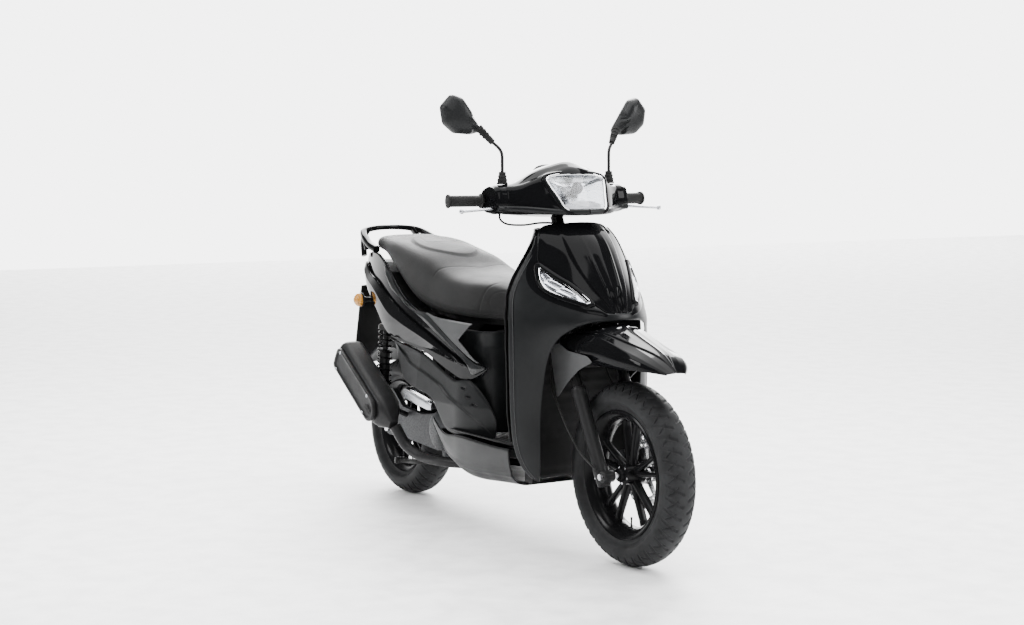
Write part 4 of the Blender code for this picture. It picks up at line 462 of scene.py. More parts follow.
# ---------------------------------------------------------------- pieces
@dataclass
class Shape:
    """A mesh in the making: grids of points that will become one piece."""

    verts: list[Array] = field(default_factory=list)
    quads: list[Array] = field(default_factory=list)
    count: int = 0

    def grid(self, points: Array, round_rows: bool = False, loop: bool = False) -> "Shape":
        """Add a grid of points.

        Args:
            points: rows by columns by three.
            round_rows: each row closes on itself.
            loop: the last row joins the first.

        Returns:
            The shape, so that calls can follow one another.
        """
        rows, columns = points.shape[:2]
        ids = np.arange(rows * columns).reshape(rows, columns) + self.count
        if round_rows:
            ids = np.concatenate([ids, ids[:, :1]], axis=1)
        if loop:
            ids = np.concatenate([ids, ids[:1]], axis=0)
        faces = np.stack([ids[:-1, :-1], ids[:-1, 1:], ids[1:, 1:], ids[1:, :-1]], axis=-1)
        self.verts.append(points.reshape(-1, 3))
        self.quads.append(faces.reshape(-1, 4))
        self.count += rows * columns
        return self

    def solid(self, rings: Array) -> "Shape":
        """Add rings that close on themselves, with each end drawn in to its middle."""
        first = np.broadcast_to(rings[0].mean(axis=0), rings[:1].shape)
        last = np.broadcast_to(rings[-1].mean(axis=0), rings[-1:].shape)
        return self.grid(np.concatenate([first, rings, last]), round_rows=True)

    def slab(self, outline: Array, rise: Array, crown: float = 0.0) -> "Shape":
        """Add a plate: a closed outline, carried by a vector, with a slight dome on each face."""
        middle = outline.mean(axis=0)
        inner = middle + (outline - middle) * 0.55
        dome = unit(np.asarray(rise)) * crown
        rings = np.stack([inner - dome, outline, outline + rise, inner + rise + dome])
        return self.solid(rings)

    def box(self, centre: Sequence[float], size: Sequence[float], turn: Matrix | None = None,
            power: float = 7.0) -> "Shape":
        """Add a block with soft vertical edges."""
        ring = squared(power, 28) * np.asarray(size[:2]) / 2
        inset = min(size) * 0.08
        heights = np.array([-size[2] / 2, -size[2] / 2 + inset, size[2] / 2 - inset, size[2] / 2])
        shrink = np.array([1 - 2 * inset / min(size[:2]), 1, 1, 1 - 2 * inset / min(size[:2])])
        rings = np.concatenate([ring[None] * shrink[:, None, None], np.broadcast_to(heights[:, None, None],
            (4, 28, 1))], axis=-1)
        rotation = np.array(turn or Matrix.Identity(3))[:3, :3]
        return self.solid(rings @ rotation.T + np.asarray(centre))

    def mirrored(self) -> "Shape":
        """Give the shape on the scooter's other side."""
        flip = np.array([1.0, -1.0, 1.0])
        return Shape([v * flip for v in self.verts], [q[:, ::-1] for q in self.quads], self.count)

    def add(self, other: "Shape") -> "Shape":
        """Take in another shape's points and faces."""
        self.verts += other.verts
        self.quads += [q + self.count for q in other.quads]
        self.count += other.count
        return self

    def piece(self, name: str, finish: Finish, body: str, replaces: Iterable[str] = (), wall: float = 0.0,
            bevel: float = 0.0, crease: float = 35.0, face: Array | None = None,
            merge: float = 1e-5) -> bpy.types.Object:
        """Make the piece, finish it and let it ride on its body.

        Args:
            name: the piece's name.
            finish: its finish.
            body: the body it rides on.
            replaces: the frame's nodes that it stands for.
            wall: a thickness for an open surface, laid on the side away from its normals.
            bevel: a small round on sharp edges.
            crease: edges sharper than this many degrees stay sharp.
            face: the way that an open sheet faces; its wall lies on the other side.
            merge: points closer than this become one.

        Returns:
            The new object.
        """
        mesh = bpy.data.meshes.new(name)
        faces = np.concatenate(self.quads)
        mesh.from_pydata(np.concatenate(self.verts).tolist(), [], faces.tolist())
        bm = bmesh.new()
        bm.from_mesh(mesh)
        bmesh.ops.remove_doubles(bm, verts=bm.verts[:], dist=merge)
        bmesh.ops.dissolve_degenerate(bm, dist=1e-6, edges=bm.edges[:])
        bmesh.ops.recalc_face_normals(bm, faces=bm.faces[:])
        if face is not None and sum((f.normal * f.calc_area() for f in bm.faces), Vector()).dot(
                Vector(face)) < 0:
            bmesh.ops.reverse_faces(bm, faces=bm.faces[:])
        bm.to_mesh(mesh)
        bm.free()
        mesh.shade_smooth()
        mesh.set_sharp_from_angle(angle=math.radians(crease))
        made = bpy.data.objects.new(name, mesh)
        bpy.context.scene.collection.objects.link(made)
        mesh.materials.append(finish.material())
        if wall:
            step = made.modifiers.new("wall", "SOLIDIFY")
            step.thickness, step.offset = wall, -1.0
        if bevel:
            step = made.modifiers.new("edges", "BEVEL")
            step.width, step.segments, step.limit_method = bevel, 2, "ANGLE"
            step.angle_limit = math.radians(40)
            step.harden_normals = False
        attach(made, body)
        if replaces:
            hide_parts(*replaces)
        log.info("%s: %d faces on %s", name, len(mesh.polygons), body)
        return made


def dress_node(node: str, finish: Finish, bevel: float = 0.0) -> None:
    """Give one of the frame's own nodes a finish, and soften its edges where asked."""
    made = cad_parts[node]
    made.data.materials.clear()
    made.data.materials.append(finish.material())
    if bevel:
        step = made.modifiers.new("edges", "BEVEL")
        step.width, step.segments, step.limit_method = bevel, 2, "ANGLE"


def both(left: Shape) -> Shape:
    """Join a left shape to its mirror image."""
    return Shape().add(left).add(left.mirrored())


def hoop(path: Array, section: Array, up: Array) -> Array:
    """Carry a section round a closed path.

    Args:
        path: the path's points, without a repeat of the first.
        section: the section's points.
        up: the direction that stays up.

    Returns:
        A grid of rings whose last joins the first.
    """
    wide = np.vstack([path[-2:], path, path[:2]])
    return sweep(wide, section, up=up)[2:-2]


# ---------------------------------------------------------------- the front body
SKIN_Y = np.array([-0.25, -0.20, -0.15, -0.10, -0.05, 0, 0.05, 0.10, 0.15, 0.20, 0.25])
SKIN_Z = np.array([0.22, 0.30, 0.40, 0.50, 0.62, 0.70, 0.74, 0.78, 0.83, 0.88, 0.93, 0.955, 0.985])
SKIN_X = np.array([(.53, .52, .5, .47, .42, .345), (.53, .52, .5, .47, .437, .372), (.53, .52, .5, .465,
    .44, .385), (.54, .53, .51, .474, .446, .388), (.56, .55, .53, .5, .455, .386), (.612, .603, .575,
    .525, .45, .375), (.598, .588, .556, .502, .432, .36), (.572, .56, .527, .472, .405, .335),
    (.54, .526, .49, .436, .372, .31), (.508, .492, .455, .402, .345, .285), (.468, .452, .415, .365, .305,
    .24), (.435, .42, .385, .335, .27, .2), (.385, .372, .335, .285, .22, .15)])
SKIN_X = np.concatenate([SKIN_X[:, :0:-1], SKIN_X], axis=1)


def skin_x(y: Array, z: Array) -> Array:
    """Give the front skin's x: a bicubic spline through the panel's measured stations.

    Args:
        y: sideways places.
        z: heights, of the same shape.

    Returns:
        How far forward the skin is there.
    """
    across = spline(SKIN_Y, np.eye(len(SKIN_Y)), y.ravel())
    along = spline(SKIN_Z, np.eye(len(SKIN_Z)), z.ravel())
    return np.einsum("ni,nj,ij->n", along, across, SKIN_X).reshape(y.shape)


def on_skin(flat: Array, rise: Array | float = 0.0) -> Array:
    """Lift (y, z) points onto the front skin, and rise that far in front of it."""
    return np.stack([skin_x(flat[..., 0], flat[..., 1]) + rise, flat[..., 0], flat[..., 1]], axis=-1)


PANEL_TOP = ((0.0, 0.979), (0.030, 0.978), (0.060, 0.976), (0.100, 0.970), (0.118, 0.960))
PANEL_SIDE = ((0.118, 0.960), (0.127, 0.948), (0.1395, 0.922), (0.152, 0.880), (0.155, 0.857))
LAMP_UPPER = ((0.155, 0.857), (0.125, 0.821), (0.105, 0.8005), (0.078, 0.7635), (0.071, 0.750))
NOSE_SEAM = ((0.071, 0.750), (0.0575, 0.736), (0.040, 0.7245), (0.0, 0.7235))
LAMP_LOWER = ((0.161, 0.8545), (0.165, 0.835), (0.167, 0.8005), (0.153, 0.7795), (0.130, 0.764),
    (0.086, 0.7445))
SHIELD_EDGE = ((0.138, 0.938), (0.155, 0.905), (0.180, 0.865), (0.208, 0.815), (0.230, 0.765),
    (0.241, 0.710), (0.244, 0.620), (0.243, 0.520), (0.240, 0.420), (0.232, 0.330), (0.214, 0.270),
    (0.190, 0.232))
ARCH_EDGE = ((0.120, 0.685), (0.148, 0.655), (0.164, 0.600), (0.172, 0.500), (0.175, 0.400), (0.176, 0.300),
    (0.176, 0.224))


@dataclass
class FrontBody:
    """The leg shield, the painted nose panel in it and the two indicators."""

    wall: float = 0.0035
    crease_rise: float = 0.0045
    fin_rise: float = 0.0032

    def build(self) -> None:
        """Build every piece of the front body."""
        self.nose_panel()
        self.shield()
        self.lamp()
        self.inner_shield()

    def panel_relief(self, flat: Array) -> Array:
        """Raise the panel's middle inside two creases, and cut the slot round the nose's fin.

        The raised middle is as wide as a spline in z says; outside it the skin drops by a
        step.  The fin is a narrow ridge beside the middle that dies out at the top.
        """
        y, z = np.abs(flat[..., 0]), flat[..., 1]
        half = spline((0.72, 0.75, 0.78, 0.82, 0.88, 0.94, 0.985), (0.020, 0.034, 0.050, 0.066, 0.079,
            0.080, 0.072), z)
        middle = 1 - ease(-0.0015, 0.0035, y - half)
        fin_at = spline((0.72, 0.80, 0.88, 0.96), (0.016, 0.028, 0.036, 0.038), z)
        fin = np.exp(-((y - fin_at) / 0.0050) ** 2) * ease(0.965, 0.86, z) * ease(0.715, 0.75, z)
        slot = np.exp(-((y - .6 * fin_at) / 0.010) ** 2) * ease(0.80, 0.765, z)
        return self.crease_rise * middle * ease(0.979, 0.945, z) + self.fin_rise * fin - 0.010 * slot

    def nose_panel(self) -> None:
        """Fill the panel's outline from the centre line out to its side edge."""
        edge = np.vstack([curve_through(PANEL_TOP[2:], 14)[:-1], curve_through(PANEL_SIDE, 22)[:-1],
            curve_through(LAMP_UPPER, 42)[:-1], curve_through(NOSE_SEAM[:3], 20)])
        rows = len(edge)
        start = broken(PANEL_TOP[:3], 60)
        centre = np.stack([np.zeros(rows), np.interp(np.arange(rows), (0, rows * 0.2, rows - 1),
            (.979, .92, .7235))], axis=-1)
        flat = coons(start, broken(((0, .7235), (.04, .7245)), 60), centre, edge)
        near = np.minimum(np.linspace(1, 0, 60)[None, :] * 60 * 0.9, 6) / 6
        drop = 0.004 * (1 - np.clip(near, 0, 1)) ** 2
        half = Shape().grid(on_skin(flat, self.panel_relief(flat) - drop))
        half.add(half.mirrored()).piece("front_panel_skin", PAINT, "root", ["front_panel"], wall=self.wall,
            crease=50, face=FORWARD)

    def shield(self) -> None:
        """Fill the leg shield with three patches a side that share their edges."""
        rows = 44
        inner = np.vstack([curve_through(PANEL_SIDE, 16)[:-1], curve_through(LAMP_LOWER, 24),
            broken(((.086, .7445), (.12, .685)), 6)[1:]])
        outer = curve_through(SHIELD_EDGE[:6], len(inner))
        tops = broken(((.118, .96), (.138, .938)), rows)
        joint = broken(((.12, .685), (.241, .71)), rows)
        upper = coons(tops, joint, inner, outer)
        lower = coons(joint, broken(((.176, .224), (.19, .232)), rows), curve_through(ARCH_EDGE, 60),
            curve_through(SHIELD_EDGE[5:], 60))
        across = np.vstack([curve_through(((0.0, .7235), (.04, .7245), (.0575, .736), (.071, .75)),
            24)[:-1], broken(((.071, .75), (.086, .7445)), 7)])
        strip = coons(across, curve_through(((0.0, .704), (.08, .699), (.12, .685)), 30),
            broken(((0.0, .7235), (0.0, .704)), 6), broken(((.086, .7445), (.12, .685)), 6))
        roll = 0.008 * np.linspace(0, 1, rows) ** 10
        half = Shape().grid(on_skin(upper, -roll[None])).grid(on_skin(lower, -roll[None])).grid(
            on_skin(strip))
        half.add(half.mirrored()).piece("leg_shield_skin", SATIN, "root", ["leg_shield"], wall=self.wall,
            crease=60, face=FORWARD, merge=4e-4)
        self.shield_trim(curve_through(SHIELD_EDGE, 120))

    def shield_trim(self, edge: Array) -> None:
        """Lay a thin lighter bead along the shield's rear edge, and a gloss hood over each lamp."""
        inset = edge - np.array([0.006, 0.0])
        bead = both(Shape().solid(sweep(on_skin(inset, -.0005), squared(2, 8) * 0.0011, up=FORWARD)))
        bead.piece("shield_edge_bead", TRIM, "root")

        inner = np.vstack([curve_through(PANEL_SIDE, 40)[:-1], curve_through(LAMP_LOWER, 60)[:-1],
            curve_through(((.086, .7445), (.0575, .7345), (.04, .7225)), 20)])
        outer = curve_through(((.126, .957), (.15, .915), (.172, .87), (.187, .83), (.188, .795),
            (.173, .766), (.145, .745), (.1, .726), (.045, .714)), len(inner))
        band = coons(inner, outer, broken((inner[0], outer[0]), 14), broken((inner[-1], outer[-1]), 14))
        lift = 0.0022 * np.sin(np.linspace(0, 1, 14) * math.pi)[:, None] ** 0.4 - 0.0006
        both(Shape().grid(on_skin(band, lift))).piece("lamp_surrounds", PAINT, "root", face=FORWARD,
            crease=60)
        self.cowl()

    def cowl(self) -> None:
        """Close the top behind the nose panel, with a round hole for the steering column.

        Each ray runs from the hole's rim out to the shield's top edge at the same angle.
        """
        a = np.linspace(0, math.tau, 120, endpoint=False)
        middle = np.array([0.288, 0.0])
        ring = np.stack([middle[0] + 0.066 * np.cos(a), 0.066 * np.sin(a), np.full(120, .95)], axis=-1)
        y = 0.112 * np.clip(1.25 * np.sin(a), -1, 1)
        front = on_skin(np.stack([y, np.interp(np.abs(y), (0, .06, .1, .118), (.977, .974, .968, .957))],
            -1), -0.004)
        back = np.stack([0.240 + 0.02 * np.abs(y / 0.112) ** 2.6, 0.74 * y, np.full(120, .953)], axis=-1)
        share = ease(-0.25, 0.25, np.cos(a))[:, None]
        rim = front * share + back * (1 - share)
        t = np.linspace(0, 1, 14)[:, None, None]
        rise = 0.002 * np.sin(t * math.pi)
        Shape().grid(ring + (rim - ring) * t + rise * UP, round_rows=True).piece("shield_cowl", SATIN,
            "root", face=UP, wall=0.002)

    def lamp(self) -> None:
        """Build each indicator: gloss hood, silver band, lens, reflector and six cells."""
        ends = np.array(((.155, .857), (.161, .8545)))
        upper, lower = curve_through(LAMP_UPPER, 40), curve_through(LAMP_LOWER, 40)
        area = coons(upper, lower, broken(ends, 22), broken((upper[-1], lower[-1]), 22))
        u, v = np.meshgrid(np.linspace(0, 1, 40), np.linspace(0, 1, 22))
        outline = np.vstack([upper[:-1], broken((upper[-1], lower[-1]), 6)[:-1], lower[::-1][:-1],
            broken(ends[::-1], 4)[:-1]])
        middle = outline.mean(axis=0)
        ring = resampled(softened(resampled(outline, 90), 0.004), 150)
        hood = hoop(on_skin(middle + (ring - middle) * 1.01, 0.001), squared(3, 16) * (0.0075, 0.0055),
            FORWARD)
        both(Shape().grid(hood, True, True)).piece("indicator_hoods", PAINT, "root")
        band = hoop(on_skin(middle + (ring - middle) * 0.90, 0.004), squared(2.6, 12) * (0.0030, 0.0036),
            FORWARD)
        both(Shape().grid(band, True, True)).piece("indicator_bands", CHROME, "root")
        dome = 0.004 + 0.004 * (4 * u * (1 - u)) ** 0.4 * (4 * v * (1 - v)) ** 0.4
        both(Shape().grid(on_skin(area, dome))).piece("indicator_lenses", CLEAR, "root", wall=0.0014,
            face=FORWARD, bevel=0.0)
        fine = coons(curve_through(LAMP_UPPER, 160), curve_through(LAMP_LOWER, 160), broken(ends, 80),
            broken((upper[-1], lower[-1]), 80))
        u, v = np.meshgrid(np.linspace(0, 1, 160), np.linspace(0, 1, 80))
        across, high = np.clip((u - 0.13) / 0.62, 0, 1), np.clip((v - 0.14) / 0.72, 0, 1)
        cells = np.abs(np.sin(across * 3 * np.pi)) ** 0.4 * np.abs(np.sin(high * 2 * np.pi)) ** 0.4
        back = both(Shape().grid(on_skin(fine, -.013 + 0.0085 * cells)))
        back.piece("indicator_reflectors", CHROME, "root", ["front_indicator_left",
            "front_indicator_right"], face=FORWARD, crease=80)

    def inner_shield(self) -> None:
        """Build the knee panel: a hollow that bends forward to the leg shield's rim at both sides.

        Across, x goes from the centre's to the rim's by the side share to the power 2.6.
        """
        share, z = np.meshgrid(np.linspace(-1, 1, 81), np.linspace(0.336, 0.957, 70))
        levels = (0.335, 0.40, 0.50, 0.60, 0.70, 0.80, 0.90, 0.957)
        middle = spline(levels, (0.292, 0.278, 0.270, 0.266, 0.262, 0.256, 0.242, 0.228), z)
        edge = np.interp(z, (0.335, 0.42, 0.62, 0.71, 0.765, 0.815, 0.865, 0.905, 0.957), (0.232, 0.240,
            0.244, 0.241, 0.230, 0.208, 0.180, 0.155, 0.119))
        x = middle + (skin_x(edge, z) - 0.030 - middle) * np.abs(share) ** 2.6
        tray = 0.010 * (np.abs(share) < 0.55) * ease(0.60, 0.61, z) * ease(0.90, 0.89, z)
        Shape().grid(np.stack([x + tray, edge * share, z], axis=-1)).piece("knee_panel", MATTE, "root",
            ["inner_shield"], wall=0.0035, face=-FORWARD, crease=50)


# ---------------------------------------------------------------- handlebar unit
COVER = {0.0: ((.31, 1.158), (.345, 1.147), (.376, 1.126), (.412, 1.066), (.442, 1.016), (.428, 1.003),
    (.37, .997), (.295, .991), (.225, .994), (.192, 1.022), (.196, 1.07), (.23, 1.12), (.27, 1.148)),
    0.050: ((.306, 1.148), (.342, 1.138), (.372, 1.12), (.405, 1.064), (.433, 1.016), (.42, 1.003),
    (.362, .997), (.292, .991), (.224, .994), (.191, 1.022), (.195, 1.066), (.227, 1.113), (.266, 1.14)),
    0.100: ((.298, 1.128), (.332, 1.119), (.36, 1.107), (.384, 1.06), (.404, 1.018), (.394, 1.005),
    (.34, .998), (.282, .993), (.222, .997), (.19, 1.022), (.193, 1.06), (.22, 1.1), (.26, 1.122)),
    0.152: ((.28, 1.097), (.306, 1.092), (.326, 1.084), (.342, 1.055), (.35, 1.024), (.34, 1.008),
    (.31, 1.0), (.27, .997), (.225, 1.001), (.196, 1.02), (.195, 1.05), (.214, 1.08), (.25, 1.093)),
    0.196: ((.262, 1.088), (.284, 1.084), (.298, 1.074), (.306, 1.05), (.306, 1.026), (.297, 1.01),
    (.276, 1.003), (.25, 1.001), (.222, 1.009), (.204, 1.026), (.203, 1.05), (.216, 1.072), (.24, 1.083))}
LAMP_OUTLINE = ((0.0, 1.121), (0.060, 1.119), (0.092, 1.112), (0.101, 1.103), (0.095, 1.080),
    (0.084, 1.055), (0.074, 1.022), (0.060, 1.011), (0.0, 1.009))


@dataclass
class HandlebarUnit:
    """The cover over the bars with its headlight, and the grips and levers."""

    grip_r: float = 0.0165
    flange_r: float = 0.0215

    def build(self) -> None:
        """Build every piece of the handlebar unit."""
        self.cover()
        self.headlight()
        self.dial()
        self.grips()
        self.levers()

    @staticmethod
    def lamp_x(y: Array, z: Array) -> Array:
        """Give how far forward the lamp's face is."""
        return 0.377 + 0.62 * (1.105 - z) - 1.6 * y * y

    @staticmethod
    def lamp_ring(count: int) -> Array:
        """Give the lamp's whole outline in (y, z)."""
        half = np.array(LAMP_OUTLINE)
        whole = np.vstack([half, half[-2:0:-1] * (-1, 1)])
        return resampled(softened(whole, 0.012), count)

    def cover(self) -> None:
        """Loft the cover through its stations, mirrored about the middle, and open it for the lamp."""
        sides = sorted(COVER)
        knots = [-s for s in sides[:0:-1]] + sides
        profiles = np.array([COVER[abs(k)] for k in knots])
        y = np.linspace(-0.234, 0.234, 230)
        rings = spline(knots, profiles, np.clip(y, -0.196, 0.196))
        closed = np.concatenate([rings[:, -2:], rings, rings[:, :3]], axis=1)
        fine = []
        for ring in closed:
            fine.append(curve_through(ring, 17 * 12 + 1)[24:180])
        fine = np.stack(fine)
        end = 1 - 0.10 * ease(0.215, 0.234, np.abs(y))[:, None, None]
        middle = fine.mean(axis=1, keepdims=True)
        fine = middle + (fine - middle) * end
        points = np.stack([fine[..., 0], np.broadcast_to(y[:, None], fine.shape[:2]), fine[..., 1]],
            axis=-1)
        shape = Shape().solid(points)
        hole = self.lamp_ring(90)
        centres = np.concatenate(shape.verts)[np.concatenate(shape.quads)].mean(axis=1)
        keep = ~(inside(centres[:, 1:], hole) & (centres[:, 0] > 0.335))
        shape.quads = [np.concatenate(shape.quads)[keep]]
        shape.piece("bar_cover_shell", PAINT, "steering", ["handlebar_cover"], crease=38, merge=1e-5)
        both(self.lip()).piece("bar_cover_lip", SATIN, "steering", crease=60)

    @staticmethod
    def lip() -> Shape:
        """Give the satin band that wraps the cover's lower front edge."""
        path = np.array([(.4365, 0.0, 1.0095), (.428, .05, 1.0095), (.399, .1, 1.0115), (.346, .15, 1.0165),
            (.3025, .196, 1.0185), (.3, .23, 1.02)])
        return Shape().solid(sweep(curve_through(path, 70), squared(2.5, 16) * (.0115, .0095), up=UP))

    def headlight(self) -> None:
        """Build the lamp: lens, bezel, mirrored bowl, bulb shield and the bright strip at its foot."""
        ring = self.lamp_ring(140)
        middle = np.array([0.0, 1.066])
        shares = np.concatenate([np.linspace(0, .9, 22), np.linspace(.92, 1.0, 8)])[:, None, None]
        flat = middle + (ring - middle)[None] * shares
        lens_x = self.lamp_x(flat[..., 0], flat[..., 1]) + 0.004 * (1 - shares[..., 0] ** 8)
        lens = np.concatenate([lens_x[..., None], flat], axis=-1)
        Shape().grid(lens, round_rows=True).piece("headlight_lens", CLEAR, "steering", wall=0.0022,
            face=FORWARD)
        bowl_depth = 0.041 * (1 - shares[..., 0] ** 2.6) + 0.002
        bowl = lens - np.stack([bowl_depth, 0 * bowl_depth, 0 * bowl_depth], axis=-1)
        Shape().grid(bowl, round_rows=True).piece("headlight_reflector", SATIN_CHROME, "steering",
            ["headlight"], face=FORWARD, crease=80)
        path = np.concatenate([self.lamp_x(ring[:, 0], ring[:, 1])[:, None], ring], axis=-1)
        Shape().grid(hoop(path, squared(2.6, 14) * (.0042, .006), FORWARD), True, True).piece(
            "headlight_bezel", CHROME, "steering")
        shroud = middle + (ring - middle) * 1.06
        path = np.concatenate([self.lamp_x(shroud[:, 0], shroud[:, 1])[:, None] - 0.004, shroud], axis=-1)
        Shape().grid(hoop(path, squared(2.6, 14) * (.0065, .01), FORWARD), True, True).piece(
            "headlight_surround", PAINT, "steering")
        at = np.array([self.lamp_x(np.array(0.0), np.array(1.078)) - 0.018, 0.0, 1.078])
        disc = revolve(((0, .006), (.012, .0055), (.018, .003), (.019, 0), (.0175, -.004), (.006, -.006),
            (.004, -.02), (0, -.02)), at, FORWARD, 40)
        Shape().grid(disc, round_rows=True).piece("bulb_shield", BULB_GREY, "steering")
        strip = softened(((-.062, 1.03), (-.058, 1.018), (.058, 1.018), (.062, 1.03), (.03, 1.04),
            (-.03, 1.04)), 0.004)
        place = np.concatenate([self.lamp_x(strip[:, 0], strip[:, 1])[:, None] - 0.016, strip], axis=-1)
        Shape().slab(place, np.array([.006, 0, 0]), 0.001).piece("position_light", LAMP_WHITE, "steering")

    def dial(self) -> None:
        """Build the instrument panel: a rounded case that leans toward the rider, with two round faces."""
        lean = Matrix.Rotation(math.radians(-50), 3, "Y")
        turn = np.array(lean)
        heights = ((-.016, .90), (-.012, .98), (.010, 1.0), (.015, .96), (.016, .93), (.013, .90),
            (.012, .0))
        ring = squared(3.2, 80) * (0.039, 0.050)
        rings = np.stack([np.column_stack([ring * size, np.full(80, z)]) for z, size in heights])
        centre = np.array([0.206, 0.0, 1.109])
        Shape().grid(rings @ turn.T + centre, True).piece("dial_case", DARK, "steering",
            ["instrument_panel"], crease=40)
        for y, radius, name in ((0.0, 0.027, "speed"), (0.036, 0.009, "fuel")):
            rim = ((radius, .0), (radius, .003), (radius - .0015, .0035), (radius - .002, .001), (0, .001))
            at = centre + turn @ np.array([0.0, y, 0.0125])
            Shape().grid(revolve(rim, at, turn @ UP, 48), True).piece(f"dial_{name}", CHROME, "steering",
                crease=30)

    def grips(self) -> None:
        """Turn both grips, with ribs round them and a flange at each end; the right one is the throttle."""
        along = np.linspace(0.240, 0.3465, 240)
        ribs = 0.0006 * np.abs(np.sin((along - .24) / 0.0052 * np.pi)) ** 0.6
        radius = self.grip_r + ribs + (self.flange_r - self.grip_r) * (ease(0.2455, 0.2425,
            along) + 0.7 * ease(0.3395, 0.3425, along))
        profile = np.stack([np.concatenate([[.0115], radius, [radius[-1] * 0.8, 0]]),
            np.concatenate([along[:1], along, [.3475, .3475]])], axis=-1)
        for side, name, body in ((1, "left", "steering"), (-1, "right", "throttle")):
            centre = np.array([0.2334 + 0.1375 * 0.165, 0, 1.040])
            axis = unit(np.array([-.1375, side, 0.0]))
            stretched = profile * (1, 1 / abs(axis[1]))
            Shape().grid(revolve(stretched, centre, axis, 44), round_rows=True).piece(f"grip_rubber_{name}",
                GRIP, body, ["grip_left" if side > 0 else "throttle_grip"], crease=70)

    def levers(self) -> None:
        """Sweep a blade from the pivot to the ball at each lever's end."""
        for side, name in ((1, "left"), (-1, "right")):
            path = curve_through([(.262, .207, 1.022), (.276, .224, 1.021), (.29, .25, 1.019),
                (.298, .29, 1.016), (.301, .345, 1.013)], 60)
            t = np.linspace(0, 1, 60)
            size = np.stack([0.0062 - 0.0022 * ease(.1, .6, t), 0.0052 - 0.0012 * ease(.1, .6, t)], axis=-1)
            shape = Shape().solid(sweep(path, squared(2.8, 18), size))
            ball = np.linspace(-np.pi / 2, np.pi / 2, 16)
            tip = revolve(np.stack([.0075 * np.cos(ball), .0075 * np.sin(ball)], axis=-1),
                (.301, .351, 1.013), ACROSS, 24)
            hub = revolve(((0, -.0055), (.008, -.0055), (.0095, -.004), (.0095, .004), (.008, .0055),
                (0, .0055)), (.262, .207, 1.022), UP, 28)
            shape.grid(tip, round_rows=True).grid(hub, round_rows=True)
            if side < 0:
                shape = shape.mirrored()
            shape.piece(f"lever_blade_{name}", ALLOY, f"lever_{name}", [f"brake_lever_{name}"], crease=60)


def inside(points: Array, outline: Array) -> Array:
    """Tell which points lie inside a closed outline, by counting edge crossings."""
    x, y = points[:, :1], points[:, 1:]
    a, b = outline, np.roll(outline, -1, axis=0)
    crosses = (a[:, 1] > y) != (b[:, 1] > y)
    with np.errstate(divide="ignore", invalid="ignore"):
        at = (b[:, 0] - a[:, 0]) * (y - a[:, 1]) / (b[:, 1] - a[:, 1]) + a[:, 0]
    return ((crosses & (x < at)).sum(axis=1) % 2) == 1


@dataclass
class Mirrors:
    """Two mirrors: a faceted shell on a bent stem with rubber sleeves."""

    depth: float = 0.040

    def build(self) -> None:
        """Build both mirrors' shells, stems, boots and sleeves."""
        outline = np.array(((.232, 1.246), (.24, 1.262), (.3, 1.346), (.33, 1.355), (.364, 1.318),
            (.356, 1.268), (.322, 1.24), (.27, 1.236)))
        ring = resampled(softened(outline, 0.008), 120)
        middle = np.array([0.303, 1.292])
        shares = np.array([0.93, 0.97, 1.0, 1.0, 0.985, 0.95, 0.88, 0.74, 0.52, 0.25, 0.0])
        rises = np.array([0.0, -0.0012, 0.0008, 0.008, 0.015, 0.022, 0.028, 0.034, 0.038, 0.0398, 0.040])
        flat = middle + (ring - middle)[None] * shares[:, None, None]
        x = 0.198 + 0.10 * (0.30 - flat[..., 0]) + rises[:, None]
        fold = 0.010 * ease(0.274, 0.268, flat[..., 0]) * ease(0.004, 0.02, rises)[:, None]
        shell = np.concatenate([(x - fold)[..., None], flat], axis=-1)
        for side, name in ((1, "left"), (-1, "right")):
            def turn(shape: Shape) -> Shape:
                """Put a left shape on this mirror's side."""
                return shape if side > 0 else shape.mirrored()

            turn(Shape().grid(shell, round_rows=True)).piece(f"mirror_case_{name}", MIRROR_BACK,
                f"mirror_{name}", [f"mirror_shell_{name}"], crease=28)
            path = curve_through([(.262, .19, 1.09), (.262, .19, 1.15), (.261, .1905, 1.176),
                (.257, .195, 1.192), (.249, .207, 1.207), (.238, .221, 1.221)], 60)
            rod = Shape().solid(sweep(path, squared(2, 20) * 0.0048, up=ACROSS))
            turn(rod).piece(f"mirror_rod_{name}", TUBES, "steering", [f"mirror_stem_{name}"])
            z = np.linspace(0, 1, 70)
            boot = 0.0165 - 0.0065 * z + 0.0008 * np.sign(np.sin(z * 22)) * (z < 0.8)
            profile = np.stack([np.concatenate([[0], boot, [0]]),
                np.concatenate([[0], z, [1]]) * 0.037 + 1.0895], axis=-1)
            turn(Shape().grid(revolve(profile, (.262, .19, 0), UP, 30), round_rows=True)).piece(
                f"mirror_boot_{name}", GRIP, "steering", crease=50)
            neck = 0.0090 + 0.0035 * z + 0.0009 * np.sign(np.sin(z * 30)) * (z > 0.3) * (z < 0.85)
            axis = unit(np.array([-.428, .553, .713]))
            start = np.array([.2445, .2125, 1.2125])
            sleeve = np.stack([np.concatenate([[0], neck, [0]]), np.concatenate([[0], z, [1]]) * 0.062],
                axis=-1)
            turn(Shape().grid(revolve(sleeve, start, axis, 28), round_rows=True)).piece(
                f"mirror_sleeve_{name}", GRIP, f"mirror_{name}", crease=50)
            dress_node(f"mirror_glass_{name}", GLASS)


